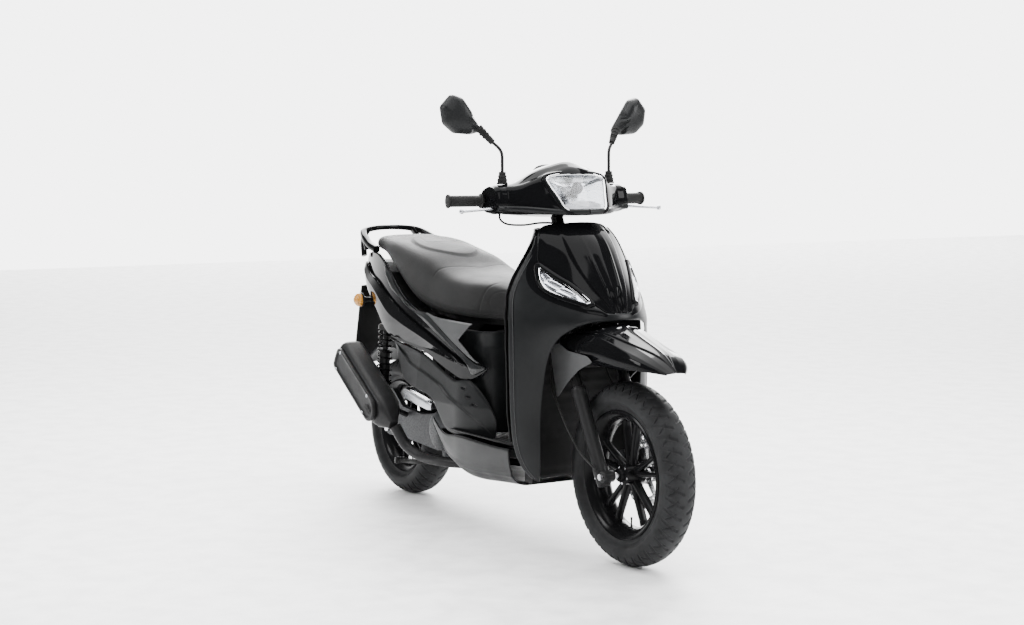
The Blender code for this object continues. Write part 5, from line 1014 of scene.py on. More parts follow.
# ---------------------------------------------------------------- fork, mudguard and wheels
RAKE = math.radians(27.5)
STEER_UP = np.array([-math.sin(RAKE), 0.0, math.cos(RAKE)])
STEER_AHEAD = np.array([math.cos(RAKE), 0.0, math.sin(RAKE)])
FRONT_AXLE = np.array([0.6675, 0.0, 0.266])
REAR_AXLE = np.array([-0.6675, 0.0, 0.2364])
STEER_POINT = np.array([0.31, 0.0, 0.90])
STEER_FOOT = FRONT_AXLE - STEER_AHEAD * ((FRONT_AXLE - STEER_POINT) @ STEER_AHEAD)


def on_steer(along: float, ahead: float = 0.0, side: float = 0.0) -> Array:
    """Give a point by its distances along, ahead of and beside the steering axis."""
    return STEER_FOOT + STEER_UP * along + STEER_AHEAD * ahead + ACROSS * side


def tilt(angle: float) -> Matrix:
    """Give the turn that leans the vertical back by an angle, in degrees."""
    return Matrix.Rotation(math.radians(-angle), 3, "Y")


@dataclass
class FrontFork:
    """The fork's lower legs, the axle, the caliper and the disc."""

    leg_y: float = 0.085
    disc_r: float = 0.110
    disc_y: float = 0.050

    def build(self) -> None:
        """Build the legs, the caliper and the disc, and dress what stays."""
        for side, name in ((1, "left"), (-1, "right")):
            self.leg(side, name)
        self.caliper()
        self.disc()
        dress_node("fork_upper", TUBES)
        dress_node("front_axle", STEEL, 0.0006)

    def leg(self, side: float, name: str) -> None:
        """Turn a leg with its dust seal and the boss that holds the axle."""
        profile = ((0, 0), (.0175, 0), (.0208, .004), (.0208, .030), (.0222, .036), (.0222, .052),
            (.0208, .060), (.0205, .240), (.0214, .252), (.0214, .278), (.0225, .281), (.0225, .290),
            (.0200, .300), (.0158, .3025), (.0158, .290))
        shape = Shape().grid(revolve(profile, on_steer(-.02, 0, side * self.leg_y), STEER_UP, 40), True)
        boss = ((0, -.019), (.0155, -.019), (.017, -.017), (.017, .017), (.0155, .019), (0, .019))
        shape.grid(revolve(boss, FRONT_AXLE + ACROSS * side * self.leg_y, ACROSS, 32), True)
        if side > 0:
            shape.box(on_steer(0.060, -0.0285, 0.0835), (0.024, 0.020, 0.075), tilt(27.5))
        shape.piece(f"fork_slider_{name}", HEAT, "fork_lower", [f"fork_leg_{name}"], crease=40)
        pinch = revolve(((0, 0), (.0045, 0), (.0052, .0012), (.0052, .0042), (.003, .0052), (.003, .003),
            (0, .003)), on_steer(0.012, -0.020, side * (self.leg_y + 0.006)), -STEER_AHEAD, 20)
        Shape().grid(pinch, True).piece(f"fork_pinch_bolt_{name}", STEEL, "fork_lower")

    def caliper(self) -> None:
        """Build the caliper as two pistons' housings that straddle the disc, with a bridge and bolts."""
        centre = on_steer(0.062, -0.068)
        shape = Shape()
        for y, wide in ((0.076, 0.029), (0.042, 0.010)):
            shape.box(centre + ACROSS * y, (0.050, wide, 0.068), tilt(27.5), 4.0)
        shape.box(centre + ACROSS * 0.062 - STEER_AHEAD * 0.019, (0.014, 0.050, 0.060), tilt(27.5), 4.0)
        piston = ((0, 0), (.0145, 0), (.0155, -.002), (.0155, -.007), (0, -.007))
        shape.grid(revolve(piston, centre + ACROSS * 0.0925, ACROSS, 36), True)
        shape.piece("caliper_body", ALLOY_DARK, "fork_lower", ["brake_caliper"], crease=40)
        bolts = Shape()
        for along in (-0.026, 0.026):
            hexagon = ((0, 0), (.0052, 0), (.0060, .0010), (.0060, .0045), (.0035, .0052), (0, .0052))
            bolts.grid(revolve(hexagon, centre + STEER_UP * along + ACROSS * 0.0885 + STEER_AHEAD * 0.014,
                ACROSS, 6), True)
        bolts.piece("caliper_bolts", STEEL, "fork_lower", crease=20)

    def disc(self) -> None:
        """Build the disc from cells that each carry a hole; the outer edge follows a wave."""
        shape = Shape()
        for ring, (low, high, count, hole, tall) in enumerate(((.07, .089, 24, .0038, 1.0),
                (.089, self.disc_r, 24, .004, 1.5))):
            for k in range(count):
                shape.add(self.cell(low, high, (k + 0.5 * ring) * math.tau / count, math.tau / count, hole,
                    tall))
        for k in range(5):
            a = k * math.tau / 5 + math.radians(90)
            out = np.array([math.cos(a), 0, math.sin(a)])
            path = FRONT_AXLE + ACROSS * self.disc_y + out * np.linspace(0.026, 0.073, 9)[:, None]
            shape.solid(sweep(path, squared(4, 16) * (.0105, .0021), np.linspace(1.25, .75, 9), up=ACROSS))
        rotor = ((0.026, -.002), (.034, -.002), (.034, .002), (.026, .002))
        shape.grid(revolve(rotor, FRONT_AXLE + ACROSS * self.disc_y, ACROSS, 60), True, True)
        shape.piece("disc_rotor", DISC_STEEL, "front_wheel", ["brake_disc"], crease=30, merge=1e-6)

    def cell(self, low: float, high: float, middle: float, width: float, hole: float, tall: float) -> Shape:
        """Give one cell of the disc: a patch in polar coordinates with a round hole through it."""
        a = np.linspace(0, math.tau, 40, endpoint=False)
        square = np.stack([np.cos(a), np.sin(a)], axis=-1)
        square /= np.abs(square).max(axis=1, keepdims=True)
        radius = (low + high) / 2 + square[:, 1] * (high - low) / 2
        angle = middle + square[:, 0] * width / 2
        wave = 0.0028 * np.cos(angle * 12) * (square[:, 1] > 0.99) * (high >= self.disc_r)
        edge = np.stack([(radius - np.abs(wave)) * np.cos(angle), (radius - np.abs(wave)) * np.sin(angle)],
            axis=-1)
        centre = (low + high) / 2
        r = centre + hole * tall * np.sin(a)
        t = middle + hole * np.cos(a) / centre
        inner = np.stack([r * np.cos(t), r * np.sin(t)], axis=-1)
        rings = [(edge, 0.002), (inner, 0.002), (inner, -0.002), (edge, -0.002)]
        grid = np.stack([np.stack([p[:, 0], np.full(40, self.disc_y + y), p[:, 1]], axis=-1) for p,
            y in rings])
        return Shape().grid(grid + FRONT_AXLE, True, True)


@dataclass
class Mudguard:
    """The painted front mudguard with a crest, flame creases and two side cheeks."""

    wall: float = 0.003

    def build(self) -> None:
        """Loft the guard along x, then lay its cheeks beside it.

        Across, the side share s drops by a power curve; two creases are steps in the height
        that run from the sides at the rear to the crest at the tip.
        """
        stations = np.array([(.458, .669, .111, .08), (.5, .683, .113, .098), (.56, .689, .11, .104),
            (.62, .686, .104, .1), (.68, .67, .098, .086), (.74, .65, .092, .066), (.8, .63, .084, .044),
            (.845, .608, .066, .024), (.878, .584, .034, .006)])
        along = 0.458 + 0.420 * np.sin(np.linspace(0, 1, 150) * np.pi / 2)
        sizes = spline(stations[:, 0], stations[:, 1:], along)
        share = np.linspace(-1, 1, 141)
        s, x = np.meshgrid(share, along)
        crest, half, drop = (sizes[:, k][:, None] for k in range(3))
        fall = np.interp(np.abs(s), (0, 0.25, .50, .82, .94, .985, 1), (0, .012, .06, .22, .40, .62, 1))
        ridge = 0.004 * np.exp(-np.abs(s) / 0.05)
        flame = spline((0.45, 0.60, 0.72, 0.80, 0.88), (0.80, 0.66, 0.52, 0.30, 0.06), x)
        crease = 0.0045 * (1 - ease(-0.02, 0.03, np.abs(s) - flame)) * ease(0.878, 0.82, x)
        z = crest - drop * fall + ridge + crease - 0.0045
        y = half * s * (1 - 0.03 * ease(0.8, 1.0, np.abs(s)))
        Shape().grid(np.stack([x, y, z], axis=-1)).piece("mudguard_skin", PAINT, "steering",
            ["front_mudguard"], wall=self.wall, face=UP, crease=60)
        cheek = softened(((.405, .612), (.436, .5), (.444, .468), (.5, .52), (.56, .562), (.628, .59),
            (.6, .605), (.5, .612), (.45, .63)), 0.010)
        left = Shape().slab(np.stack([cheek[:, 0], np.full(len(cheek), .1095), cheek[:, 1]], axis=-1),
            ACROSS * 0.0032, 0.0)
        both(left).piece("mudguard_cheeks", CHEEK, "steering", bevel=0.0006, crease=30)


@dataclass
class Wheel:
    """A cast wheel with five double spokes, and its tyre."""

    name: str
    body: str
    axle: Array
    tyre_r: float
    tyre_w: float
    flange_r: float
    hub_half: float
    pattern: int = 44

    def build(self) -> None:
        """Build the tyre and the cast wheel."""
        self.tyre()
        self.rim()

    def tyre(self) -> None:
        """Turn the tyre's section and press the tread grooves into it.

        Round the tyre, each groove is a slanted line: its phase is the turn times the
        pattern's count, plus a curve of the distance from the middle.
        """
        half = self.tyre_w / 2
        bead = self.flange_r - 0.004
        side = np.array([(bead, -.036), (bead + .006, -.0395), (bead + .014, -.0415),
            (bead + .020, -half + .008)])
        top = self.tyre_r
        crown = [(top - .062 + .005, -half + .003), (top - .048, -half), (top - .034, -half + .002),
            (top - .0225, -half + .008), (top - .0115, -half + .020), (top - .0035, -half + .036),
            (top, 0.0)]
        section = np.vstack([side, crown])
        section = np.vstack([section, section[-2::-1] * (1, -1)])
        section = curve_through(section, 150)
        steps = 900
        turn, where = np.meshgrid(np.linspace(0, 1, steps, endpoint=False), section[:, 1] / half)
        radius = np.broadcast_to(section[:, :1], turn.shape)
        off = np.abs(where)
        tread = ease(top - 0.036, top - 0.031, radius)
        phase = (turn * self.pattern + 0.9 * off ** 1.5 + 0.5 * (where > 0)) % 1.0
        wide = np.abs(phase - 0.5) * 2
        cut = ease(0.30, 0.16, wide) * ease(0.10, 0.16, off) * ease(0.97, 0.90, off)
        phase2 = (turn * self.pattern - 1.6 * off + 0.25) % 1.0
        short = ease(0.18, 0.10, np.abs(phase2 - 0.5) * 2) * ease(0.42, 0.48, off) * ease(0.86, 0.80, off)
        sides = 0.0006 * (ease(bead + 0.028, bead + 0.029, radius) * ease(bead + 0.031, bead + 0.030,
            radius))
        depth = 0.0034 * np.maximum(cut, short) * tread - sides
        a = turn * math.tau
        r = radius - depth
        y = np.broadcast_to(section[:, 1:2], turn.shape)
        points = np.stack([r * np.sin(a), y, r * np.cos(a)], axis=-1) + self.axle
        Shape().grid(points, round_rows=True).piece(f"{self.name}_tread", TREAD, self.body,
            [f"{self.name}_tyre"], crease=38, merge=1e-6)

    def rim(self) -> None:
        """Turn the rim and the hub, and carry ten spokes between them in pairs."""
        f = self.flange_r
        half = np.array([(f, .041), (f, .0375), (f - .01, .035), (f - .016, .028), (f - .0235, .012)])
        back = np.array([(f - .0335, 0), (f - .031, .02), (f - .021, .033), (f - .014, .04),
            (f - .005, .0435)])
        loop = np.vstack([half, half[::-1] * (1, -1), back[:0:-1] * (1, -1), back])
        shape = Shape().grid(revolve(loop, self.axle, ACROSS, 160), True, True)
        h = self.hub_half
        hub = ((.0065, -h), (.017, -h), (.019, -h + .002), (.0205, -h + .012), (.0300, -h + .016),
            (.0300, h - .016), (.0205, h - .012), (.019, h - .002), (.017, h), (.0065, h))
        shape.grid(revolve(hub, self.axle, ACROSS, 64), True, True)
        for k in range(5):
            for lean in (-11, 11):
                a = math.radians(90 + 72 * k + lean)
                foot = math.radians(90 + 72 * k + lean * 0.75)
                t = np.linspace(0, 1, 26)
                start = 0.026 * np.array([math.cos(foot), 0, math.sin(foot)])
                end = (f - 0.028) * np.array([math.cos(a), 0, math.sin(a)])
                path = start + (end - start) * t[:, None]
                wide = 0.0070 + 0.0030 * (1 - t) ** 2 + 0.0050 * ease(0.82, 1.0, t)
                deep = 0.0135 - 0.0015 * t
                shape.solid(sweep(path + self.axle, squared(3.2, 20), np.stack([wide, deep], axis=-1),
                    up=ACROSS))
        shape.piece(f"{self.name}_casting", CAST, self.body, [f"{self.name}_rim"], crease=42)
        bolts = Shape()
        for k in range(5):
            a = math.radians(90 + 36 + 72 * k)
            at = self.axle + np.array([0.0235 * math.cos(a), 0, 0.0235 * math.sin(a)])
            for side in (1, -1):
                head = ((0, 0), (.0035, 0), (.0040, .0008), (.0040, .0030), (0, .0034))
                bolts.grid(revolve(head, at + ACROSS * side * (h - .016), ACROSS * side, 12), True)
        bolts.piece(f"{self.name}_hub_bolts", STEEL, self.body, crease=25)
        valve = revolve(((0, 0), (.004, 0), (.004, .004), (.0026, .006), (.0026, .022), (.0032, .023),
            (.0032, .03), (0, .03)), self.axle + np.array([0, 0, -(f - .031)]), UP, 16)
        Shape().grid(valve, True).piece(f"{self.name}_valve", HOSE, self.body)


# ---------------------------------------------------------------- seat
SEAT_STATIONS = np.array([(-.738, .07, .878, .862), (-.715, .1, .892, .858), (-.64, .128, .896, .848),
    (-.55, .146, .892, .818), (-.46, .154, .881, .762), (-.37, .158, .866, .712), (-.29, .16, .848, .688),
    (-.225, .16, .824, .678), (-.14, .158, .801, .672), (-.05, .148, .79, .669), (.04, .124, .783, .668),
    (.1, .092, .768, .668), (.132, .058, .738, .672), (.142, .03, .712, .68)])


@dataclass
class Seat:
    """The stepped dual seat: padded, grained, with pressed seams."""

    seam: float = 0.0022

    def build(self) -> None:
        """Loft the cushion, press its seams in and dress the seat's base."""
        along = np.concatenate([np.linspace(-.738, -.7, 24)[:-1], np.linspace(-.7, .1, 300), np.linspace(.1,
            .142, 40)[1:]])
        sizes = spline(SEAT_STATIONS[:, 0], SEAT_STATIONS[:, 1:], along)
        share = np.array((0, .80, .95, 1, .955, .80, .45, 0.0))
        rise = np.array((0, 0, .08, .35, .70, .90, .985, 1.0))
        section = curve_through(np.stack([share, rise], axis=-1), 120)
        half = sizes[:, :1] * section[None, :, 0]
        edge, top = sizes[:, 2:3], sizes[:, 1:2]
        z = edge + (top - edge) * section[None, :, 1]
        x = np.broadcast_to(along[:, None], z.shape)
        up = np.broadcast_to(section[None, :, 1], z.shape)
        relief = self.relief(x, half, z, up, np.broadcast_to(section[None, :, 0], z.shape))
        normal_y = np.gradient(z, axis=1)
        normal_z = -np.gradient(half, axis=1)
        size = np.hypot(normal_y, normal_z) + 1e-9
        left = np.stack([x, half + relief * normal_y / size, z + relief * normal_z / size], axis=-1)
        left[:, [0, -1], 1] = 0.0
        rings = np.concatenate([left, left[:, -2:0:-1] * (1, -1, 1)], axis=1)
        cushion = Shape().solid(rings).piece("seat_pad", VINYL, "seat", ["seat_cushion"], crease=60,
            merge=2e-5)
        dress_node("seat_base", DARK)

    def relief(self, x: Array, y: Array, z: Array, up: Array, share: Array) -> Array:
        """Give how far the vinyl stands out: a raised saddle behind the rider, and pressed seams.

        Each seam is a narrow trough along a line in the side view or in the plan.
        """
        def trough(distance: Array, wide: float = 0.0030) -> Array:
            """Give a trough's depth from the distance to its line."""
            return np.exp(-(distance / wide) ** 2)

        oval = np.hypot((x + 0.43) / 0.150, y / 0.095)
        saddle = 0.0060 * (1 - ease(0.92, 1.08, oval)) * (up > 0.6)
        hem = trough(up - 0.16, 0.018) * ease(-0.72, -0.69, x)
        nose = trough(x - (0.030 + 0.030 * (up - .5))) * ease(0.12, 0.2, up) * ease(0.99, 0.93, up)
        step = trough(x + 0.235 - 0.05 * (1 - share)) * (up > 0.72)
        line = np.clip((0.545 + x) / 0.10, 0, 1)
        panel = np.maximum(trough(y - (.04 + 0.022 * line)) * (x > -0.545) * (x < -0.445),
            trough(x + 0.445) * (y < 0.062)) * (up > 0.8)
        inset = np.hypot((x - 0.090) / 0.034, (z - 0.722) / 0.034) ** 4
        patch = trough(inset - 1, 0.25) * (x > 0.045) * ease(0.2, 0.3, up) * ease(0.95, 0.85, up)
        return saddle - self.seam * np.maximum.reduce([0.8 * hem, nose, 0.6 * step, 0.5 * panel,
            0.6 * patch])


# ---------------------------------------------------------------- side panels, floor and belly
def side_y(x: Array, z: Array) -> Array:
    """Give how far out the body's side is at (x, z)."""
    wide = spline((-.82, -.76, -.68, -.55, -.40, -.20, .02, .16), (.110, .130, .150, .172, .186, .194, .194,
        .186), x)
    return wide - 0.06 * np.maximum(z - 0.62, 0) - 0.10 * np.maximum(0.56 - z, 0)


def on_side(flat: Array, rise: Array | float = 0.0) -> Array:
    """Lift (x, z) points onto the body's left side, and rise that far outward."""
    y = side_y(flat[..., 0], flat[..., 1]) + rise
    return np.stack([flat[..., 0], y, flat[..., 1]], axis=-1)


@dataclass(frozen=True)
class Blade:
    """One blade of the side panel: two edges from tail to nose, and how its face is shaped."""

    name: str
    finish: Finish
    upper: Points
    lower: Points
    rise: float
    crest: float
    crest_at: float
    nose: Points | None = None


@dataclass
class SidePanels:
    """The arrow-shaped panels: a base with gloss and satin blades layered on it."""

    wall: float = 0.0035

    def build(self) -> None:
        """Build the base panels and their blades on both sides."""
        top = ((-.815, .790), (-.800, .818), (-.765, .838), (-.700, .842), (-.640, .836), (-.560, .806),
            (-.460, .744), (-.370, .698), (-.290, .674), (-.210, .650), (-.120, .620), (.000, .577),
            (.112, .535), (.152, .530))
        low = ((-.815, .790), (-.805, .755), (-.765, .720), (-.680, .680), (-.600, .640), (-.500, .578),
            (-.470, .562), (-.250, .543), (-.100, .5005), (-.020, .479), (.056, .484), (.110, .503),
            (.152, .524))
        self.sheet("side_base", PAINT, top, low, -0.005, 0.0, 0.5, ["side_panel_left", "side_panel_right"])
        for blade in (Blade("outer_blade", PAINT, ((-.812, .792), (-.795, .803), (-.72, .77), (-.63, .748),
                (-.5, .7), (-.36, .655), (-.215, .612), (-.06, .562), (.062, .522)), ((-.812, .786),
                (-.803, .757), (-.765, .722), (-.68, .682), (-.6, .641), (-.5, .58), (-.4, .57),
                (-.2, .556), (-.05, .535), (.062, .518)), 0.004, 0.010, 0.34), Blade("inner_blade", SATIN,
                ((-.56, .803), (-.5, .772), (-.46, .742), (-.37, .697), (-.29, .675), (-.21, .668),
                (-.12, .632), (.0, .578), (.09, .54), (.146, .528)), ((-.56, .797), (-.53, .762),
                (-.48, .727), (-.36, .69), (-.215, .64), (-.06, .582), (.04, .535), (.062, .512),
                (.08, .5), (.146, .524)), 0.002, 0.005, 0.5), Blade("corner_panel", TRIM, ((-.212, .672),
                (-.14, .662), (-.04, .66), (.072, .658)), ((-.212, .668), (-.16, .646), (-.11, .628),
                (-.06, .605), (-.01, .583), (.04, .562), (.08, .546), (.108, .537)), 0.0005, 0.0, 0.5,
                ((.072, .658), (.036, .63), (.003, .604), (.003, .6), (.05, .573), (.108, .537)))):
            self.sheet(blade.name, blade.finish, blade.upper, blade.lower, blade.rise, blade.crest,
                blade.crest_at, nose=blade.nose)
        self.deck()

    def deck(self) -> None:
        """Close the space between the two panels below the seat's tail."""
        x, share = np.meshgrid(np.linspace(-0.812, -0.300, 90), np.linspace(-1, 1, 61), indexing="ij")
        z = np.interp(x, (-.815, -.795, -.730, -.640, -.560, -.460, -.370, -.290), (.790, .818, .834, .828,
            .798, .737, .692, .668)) - 0.012 - 0.010 * (1 - share ** 4)
        y = share * (side_y(x, z) - 0.008)
        Shape().grid(np.stack([x, y, z], axis=-1)).piece("tail_deck", DARK, "root", wall=0.002, face=UP)

    def sheet(self, name: str, finish: Finish, upper: Points, lower: Points, rise: float, crest: float,
            crest_at: float, replaces: Sequence[str] = (), nose: Points | None = None) -> None:
        """Fill the space between two edges, with a crest along it and its rims turned in."""
        rows, columns = 60, 220
        up, down = curve_through(upper, columns), curve_through(lower, columns)
        end = broken(nose or (up[-1], down[-1]), rows)
        flat = coons(up, down, broken((up[0], down[0]), rows), end)
        v = np.linspace(0, 1, rows)[:, None]
        ends = np.minimum(np.linspace(0, 1, columns), np.linspace(1, 0, columns))[None, :]
        peak = np.where(v < crest_at, v / crest_at, (1 - v) / (1 - crest_at))
        rims = 0.006 * (1 - ease(0, 0.035, np.minimum(v, 1 - v)))
        lift = rise + crest * np.clip(peak, 0, 1) ** 0.9 * ease(0, 0.06, ends) - rims
        both(Shape().grid(on_side(flat, lift))).piece(name, finish, "root", replaces, wall=self.wall,
            face=None, crease=30)


@dataclass
class FloorAndBelly:
    """The floorboard with ribs, its rear wings, the belly pan and the cover below the seat."""

    floor_z: float = 0.312
    wall: float = 0.0035

    def build(self) -> None:
        """Build the floor, the wings, the belly pan and the covers."""
        self.floor()
        self.wings()
        self.belly()
        self.covers()

    def floor(self) -> None:
        """Spread the floor between its side edges, with ribs and an upturned rim.

        The ribs are rounded steps of the sideways place, and fade out before the rim.
        """
        x, share = np.meshgrid(np.linspace(-0.022, 0.352, 120), np.linspace(-1, 1, 401), indexing="ij")
        half = np.interp(x, (-.022, 0, .100, .300, .340, .352), (.205, .222, .226, .226, .205, .150))
        y = half * share
        rim = 0.014 * ease(0.175, 0.205, np.abs(y)) + 0.006 * ease(0.20, 0.222, np.abs(y))
        ribs = 0.0022 * ease(0.15, 0.55, np.cos(y / 0.0165 * math.tau / 2) ** 2) * ease(0.160, 0.150,
            np.abs(y))
        ribs = ribs * ease(0.02, 0.04, x) * ease(0.325, 0.305, x)
        Shape().grid(np.stack([x, y, self.floor_z + rim + ribs - .004], axis=-1)).piece("floor_mat", MATTE,
            "root", ["floorboard"], wall=self.wall, face=UP, crease=50)

    def wings(self) -> None:
        """Fill the wings behind the floor, with a step along each and three slots near its front."""
        lower = ((-.470, .556), (-.405, .500), (-.350, .440), (-.250, .422), (-.150, .405), (-.110, .370),
            (-.060, .318), (0, .305), (.080, .300), (.150, .305))
        upper = ((-.470, .558), (-.250, .540), (-.100, .497), (-.020, .4755), (.058, .480), (.120, .430),
            (.152, .370), (.150, .306))
        up, down = curve_through(upper, 200), curve_through(lower, 200)
        flat = coons(up, down, broken((up[0], down[0]), 60), broken((up[-1], down[-1]), 60))
        x, z = flat[..., 0], flat[..., 1]
        y = 0.205 - 0.10 * np.maximum(z - 0.40, 0) + 0.03 * np.minimum(z - 0.40, 0) \
            - 0.018 * np.maximum(-x - 0.25, 0) / 0.22 - 2.4 * np.maximum(x, 0) ** 2
        v = np.linspace(0, 1, 60)[:, None]
        step = 0.007 * ease(0.42, 0.46, v) - 0.006 * (1 - ease(0, 0.04, np.minimum(v, 1 - v)))
        slots = sum(ease(0.010, 0.007, np.hypot((x - .035 - .024 * k) * 0.9,
            (z - .455 + 0.024 * k) * 2.2)) for k in range(3))
        points = np.stack([x, y + step * ease(-.47, -.4, x) * ease(.15, .1, x) - 0.006 * slots, z], axis=-1)
        both(Shape().grid(points)).piece("floor_wings", SATIN, "root", wall=self.wall, face=None, crease=32)

    def belly(self) -> None:
        """Loft the belly pan through its stations, and stand the wheel-arch liner in front of it."""
        stations = np.array([(-.17, .19, .34, .178, .3), (-.08, .206, .306, .172, .228), (.02, .218, .31,
            .168, .186), (.2, .221, .31, .168, .186), (.345, .219, .31, .164, .196)])
        along = np.linspace(-0.170, 0.345, 90)
        rim_y, rim_z, low_y, low_z = spline(stations[:, 0], stations[:, 1:], along).T[:, :, None]
        s = np.linspace(0, 1, 60)[None, :]
        angle = np.clip((s - 0.0) / 0.62, 0, 1) * math.pi / 2
        y = np.where(s < 0.62, low_y - 0.02 + (rim_y - low_y + 0.02) * np.cos(angle) ** 0.7,
            (low_y - 0.02) * (1 - (s - .62) / 0.38))
        z = rim_z - (rim_z - low_z) * np.sin(angle) ** 0.85
        crease = 0.004 * np.exp(-((s - .3) / 0.03) ** 2)
        half = np.stack([np.broadcast_to(along[:, None], y.shape), y + crease, z], axis=-1)
        shape = Shape().grid(np.concatenate([half, half[:, -2::-1] * (1, -1, 1)], axis=1))
        shape.piece("belly_shell", SATIN, "root", ["belly_pan"], wall=self.wall, face=-UP, crease=40)
        plan = curve_through(((.425, -.181), (.385, -.181), (.366, -.165), (.36, -.12), (.358, 0),
            (.36, .12), (.366, .165), (.385, .181), (.425, .181)), 120)
        levels = np.linspace(0.216, 0.600, 40)
        ribs = 0.0025 * (np.cos(levels / 0.030 * math.tau) > 0.6)[:, None] * (
            np.abs(plan[None, :, 1]) < 0.15)
        wall = np.stack([plan[None, :, 0] - ribs, np.broadcast_to(plan[None, :, 1], (40, 120)),
            np.broadcast_to(levels[:, None], (40, 120))], axis=-1)
        Shape().grid(wall).piece("arch_liner", DARK, "root", wall=0.003, face=FORWARD, crease=50)

    def covers(self) -> None:
        """Loft the cover below the seat's nose, and dress the bucket, the tank and the frame."""
        plan = curve_through(((-.1, -.151), (.05, -.151), (.092, -.132), (.112, -.08), (.116, 0),
            (.112, .08), (.092, .132), (.05, .151), (-.1, .151)), 140)
        z = np.linspace(0.320, 0.632, 60)
        shrink = np.interp(z, (.32, .42, .52, .585, .632), (0, 0, .002, .012, .008))
        hatch = 0.003 * ease(0.41, 0.414, z) * ease(0.56, 0.556, z)
        x = plan[None, :, 0] - shrink[:, None] + hatch[:, None] * (np.abs(plan[None, :, 1]) < 0.07)
        y = plan[None, :, 1] * (1 - 0.3 * shrink[:, None] / 0.15)
        Shape().grid(np.stack([x, y, np.broadcast_to(z[:, None], y.shape)], axis=-1)).piece("seat_tower",
            SATIN, "root", ["underseat_cover"], wall=self.wall, face=FORWARD, crease=40)
        for node, finish in (("storage_bucket", DARK), ("fuel_tank", DARK), ("main_frame", TUBES),
                ("handlebar", TUBES), ("brake_perch_left", HEAT), ("brake_perch_right", HEAT),
                ("starter_button", GRIP), ("horn_button", GRIP)):
            dress_node(node, finish, 0.0006 if node.startswith(("brake", "fuel")) else 0.0)


@dataclass
class Tail:
    """The grab rail, the tail light, the rear mudguard with its plate holder, and the indicators."""


    def build(self) -> None:
        """Build the tail's pieces."""
        rail = [(-.655, .142, .852), (-.715, .138, .866), (-.775, .128, .890), (-.818, .105, .908),
            (-.836, .055, .916), (-.838, 0, .918)]
        path = curve_through(rail + [(x, -y, z) for x, y, z in rail[-2::-1]], 180)
        t = np.abs(np.linspace(-1, 1, 180))
        shape = Shape().solid(sweep(path, squared(3, 24), np.stack([.0118 + 0 * t, .0085 + 0.0040 * t],
            axis=-1)))
        foot = Shape().solid(sweep(curve_through([(-.775, .112, .846), (-.777, .117, .87),
            (-.779, .124, .886)], 16), squared(3, 20) * (.014, .009), up=FORWARD))
        post = curve_through([(-.83, .085, .914), (-.826, .1, .895), (-.812, .112, .86), (-.8, .116, .822)],
            40)
        wide = np.stack([np.full(40, .0075), np.linspace(.019, .013, 40)], axis=-1)
        foot.solid(sweep(post, squared(3, 24), wide, up=FORWARD))
        shape.add(both(foot)).piece("rail_hoop", PAINT, "root", ["grab_rail"], crease=40)
        y = np.linspace(-0.088, 0.088, 120)[:, None]
        profile = softened(((-.826, .744), (-.821, .797), (-.791, .799), (-.791, .743)), 0.006)
        slim = 1 - 0.25 * np.abs(y / 0.088) ** 4
        x = -0.791 + (profile[None, :, 0] + 0.791) * slim * (1 - 0.12 * (y / 0.088) ** 2)
        ring = np.stack([x, np.broadcast_to(y, x.shape), np.broadcast_to(profile[None, :, 1], x.shape)],
            axis=-1)
        Shape().solid(ring).piece("tail_lens", RED, "root", ["tail_light"], crease=50)
        self.mudguard()
        for side, name in ((1, "left"), (-1, "right")):
            root = np.array([-0.765, side * 0.1283, 0.672])
            bowl = ((0, 0), (.010, 0), (.012, .010), (.0235, .0150), (.0258, .0190), (.0258, .0230),
                (.0240, .0240), (0, .0240))
            Shape().grid(revolve(bowl, root, ACROSS * side, 48), True).piece(f"indicator_bowl_{name}", DARK,
                "root", [f"rear_indicator_{name}"], crease=40)
            a = np.linspace(0, 1, 24)
            dome = np.stack([0.0245 * np.sin(a * math.pi / 2), 0.0225 + 0.0225 * np.cos(a * math.pi / 2)],
                axis=-1)
            ribs = 0.0005 * np.cos(dome[:, :1] / 0.0022 * math.pi) * np.array([[0, 1]])
            Shape().grid(revolve(dome + ribs, root, ACROSS * side, 48), True).piece(
                f"indicator_amber_{name}", AMBER, "root", crease=60)

    def mudguard(self) -> None:
        """Bend the rear mudguard round the wheel, and build the plate holder with its stay."""
        angle, s = np.meshgrid(np.radians(np.linspace(62, 138, 90)), np.linspace(-1, 1, 81), indexing="ij")
        radius = 0.2364 + 0.068 - 0.030 * np.abs(s) ** 6
        points = np.stack([-0.6675 + radius * np.cos(angle), 0.084 * np.sign(s) * np.abs(s) ** 0.9,
            0.2364 + radius * np.sin(angle)], axis=-1)
        Shape().grid(points).piece("rear_guard", SATIN, "root", ["rear_mudguard"], wall=0.004, face=UP,
            crease=40)
        shape = Shape()
        top, foot = np.array([-.868, 0, .715]), np.array([-.9335, 0, .440])
        plate = softened(((-.095, 0), (.095, 0), (.095, 1), (.06, 1), (-.06, 1), (-.095, 1)), 0.012)
        ahead = unit(np.array([.97277, 0, -.2317])) * 0.006
        outline = top + (foot - top) * plate[:, 1:] + ACROSS * plate[:, :1]
        shape.slab(outline, ahead, 0.0)
        stay = softened(((-.862, .705), (-.88, .62), (-.79, .503), (-.7, .535), (-.692, .548), (-.735, .64),
            (-.752, .705)), 0.012)
        shape.slab(np.stack([stay[:, 0], np.full(len(stay), -.03), stay[:, 1]], axis=-1), ACROSS * 0.060,
            0.0)
        shape.solid(sweep(np.array([(-.765, y, .672) for y in np.linspace(-.128, .128, 9)]),
            squared(2, 24) * 0.008))
        shape.piece("plate_holder", DARK, "root", crease=30, bevel=0.0008)


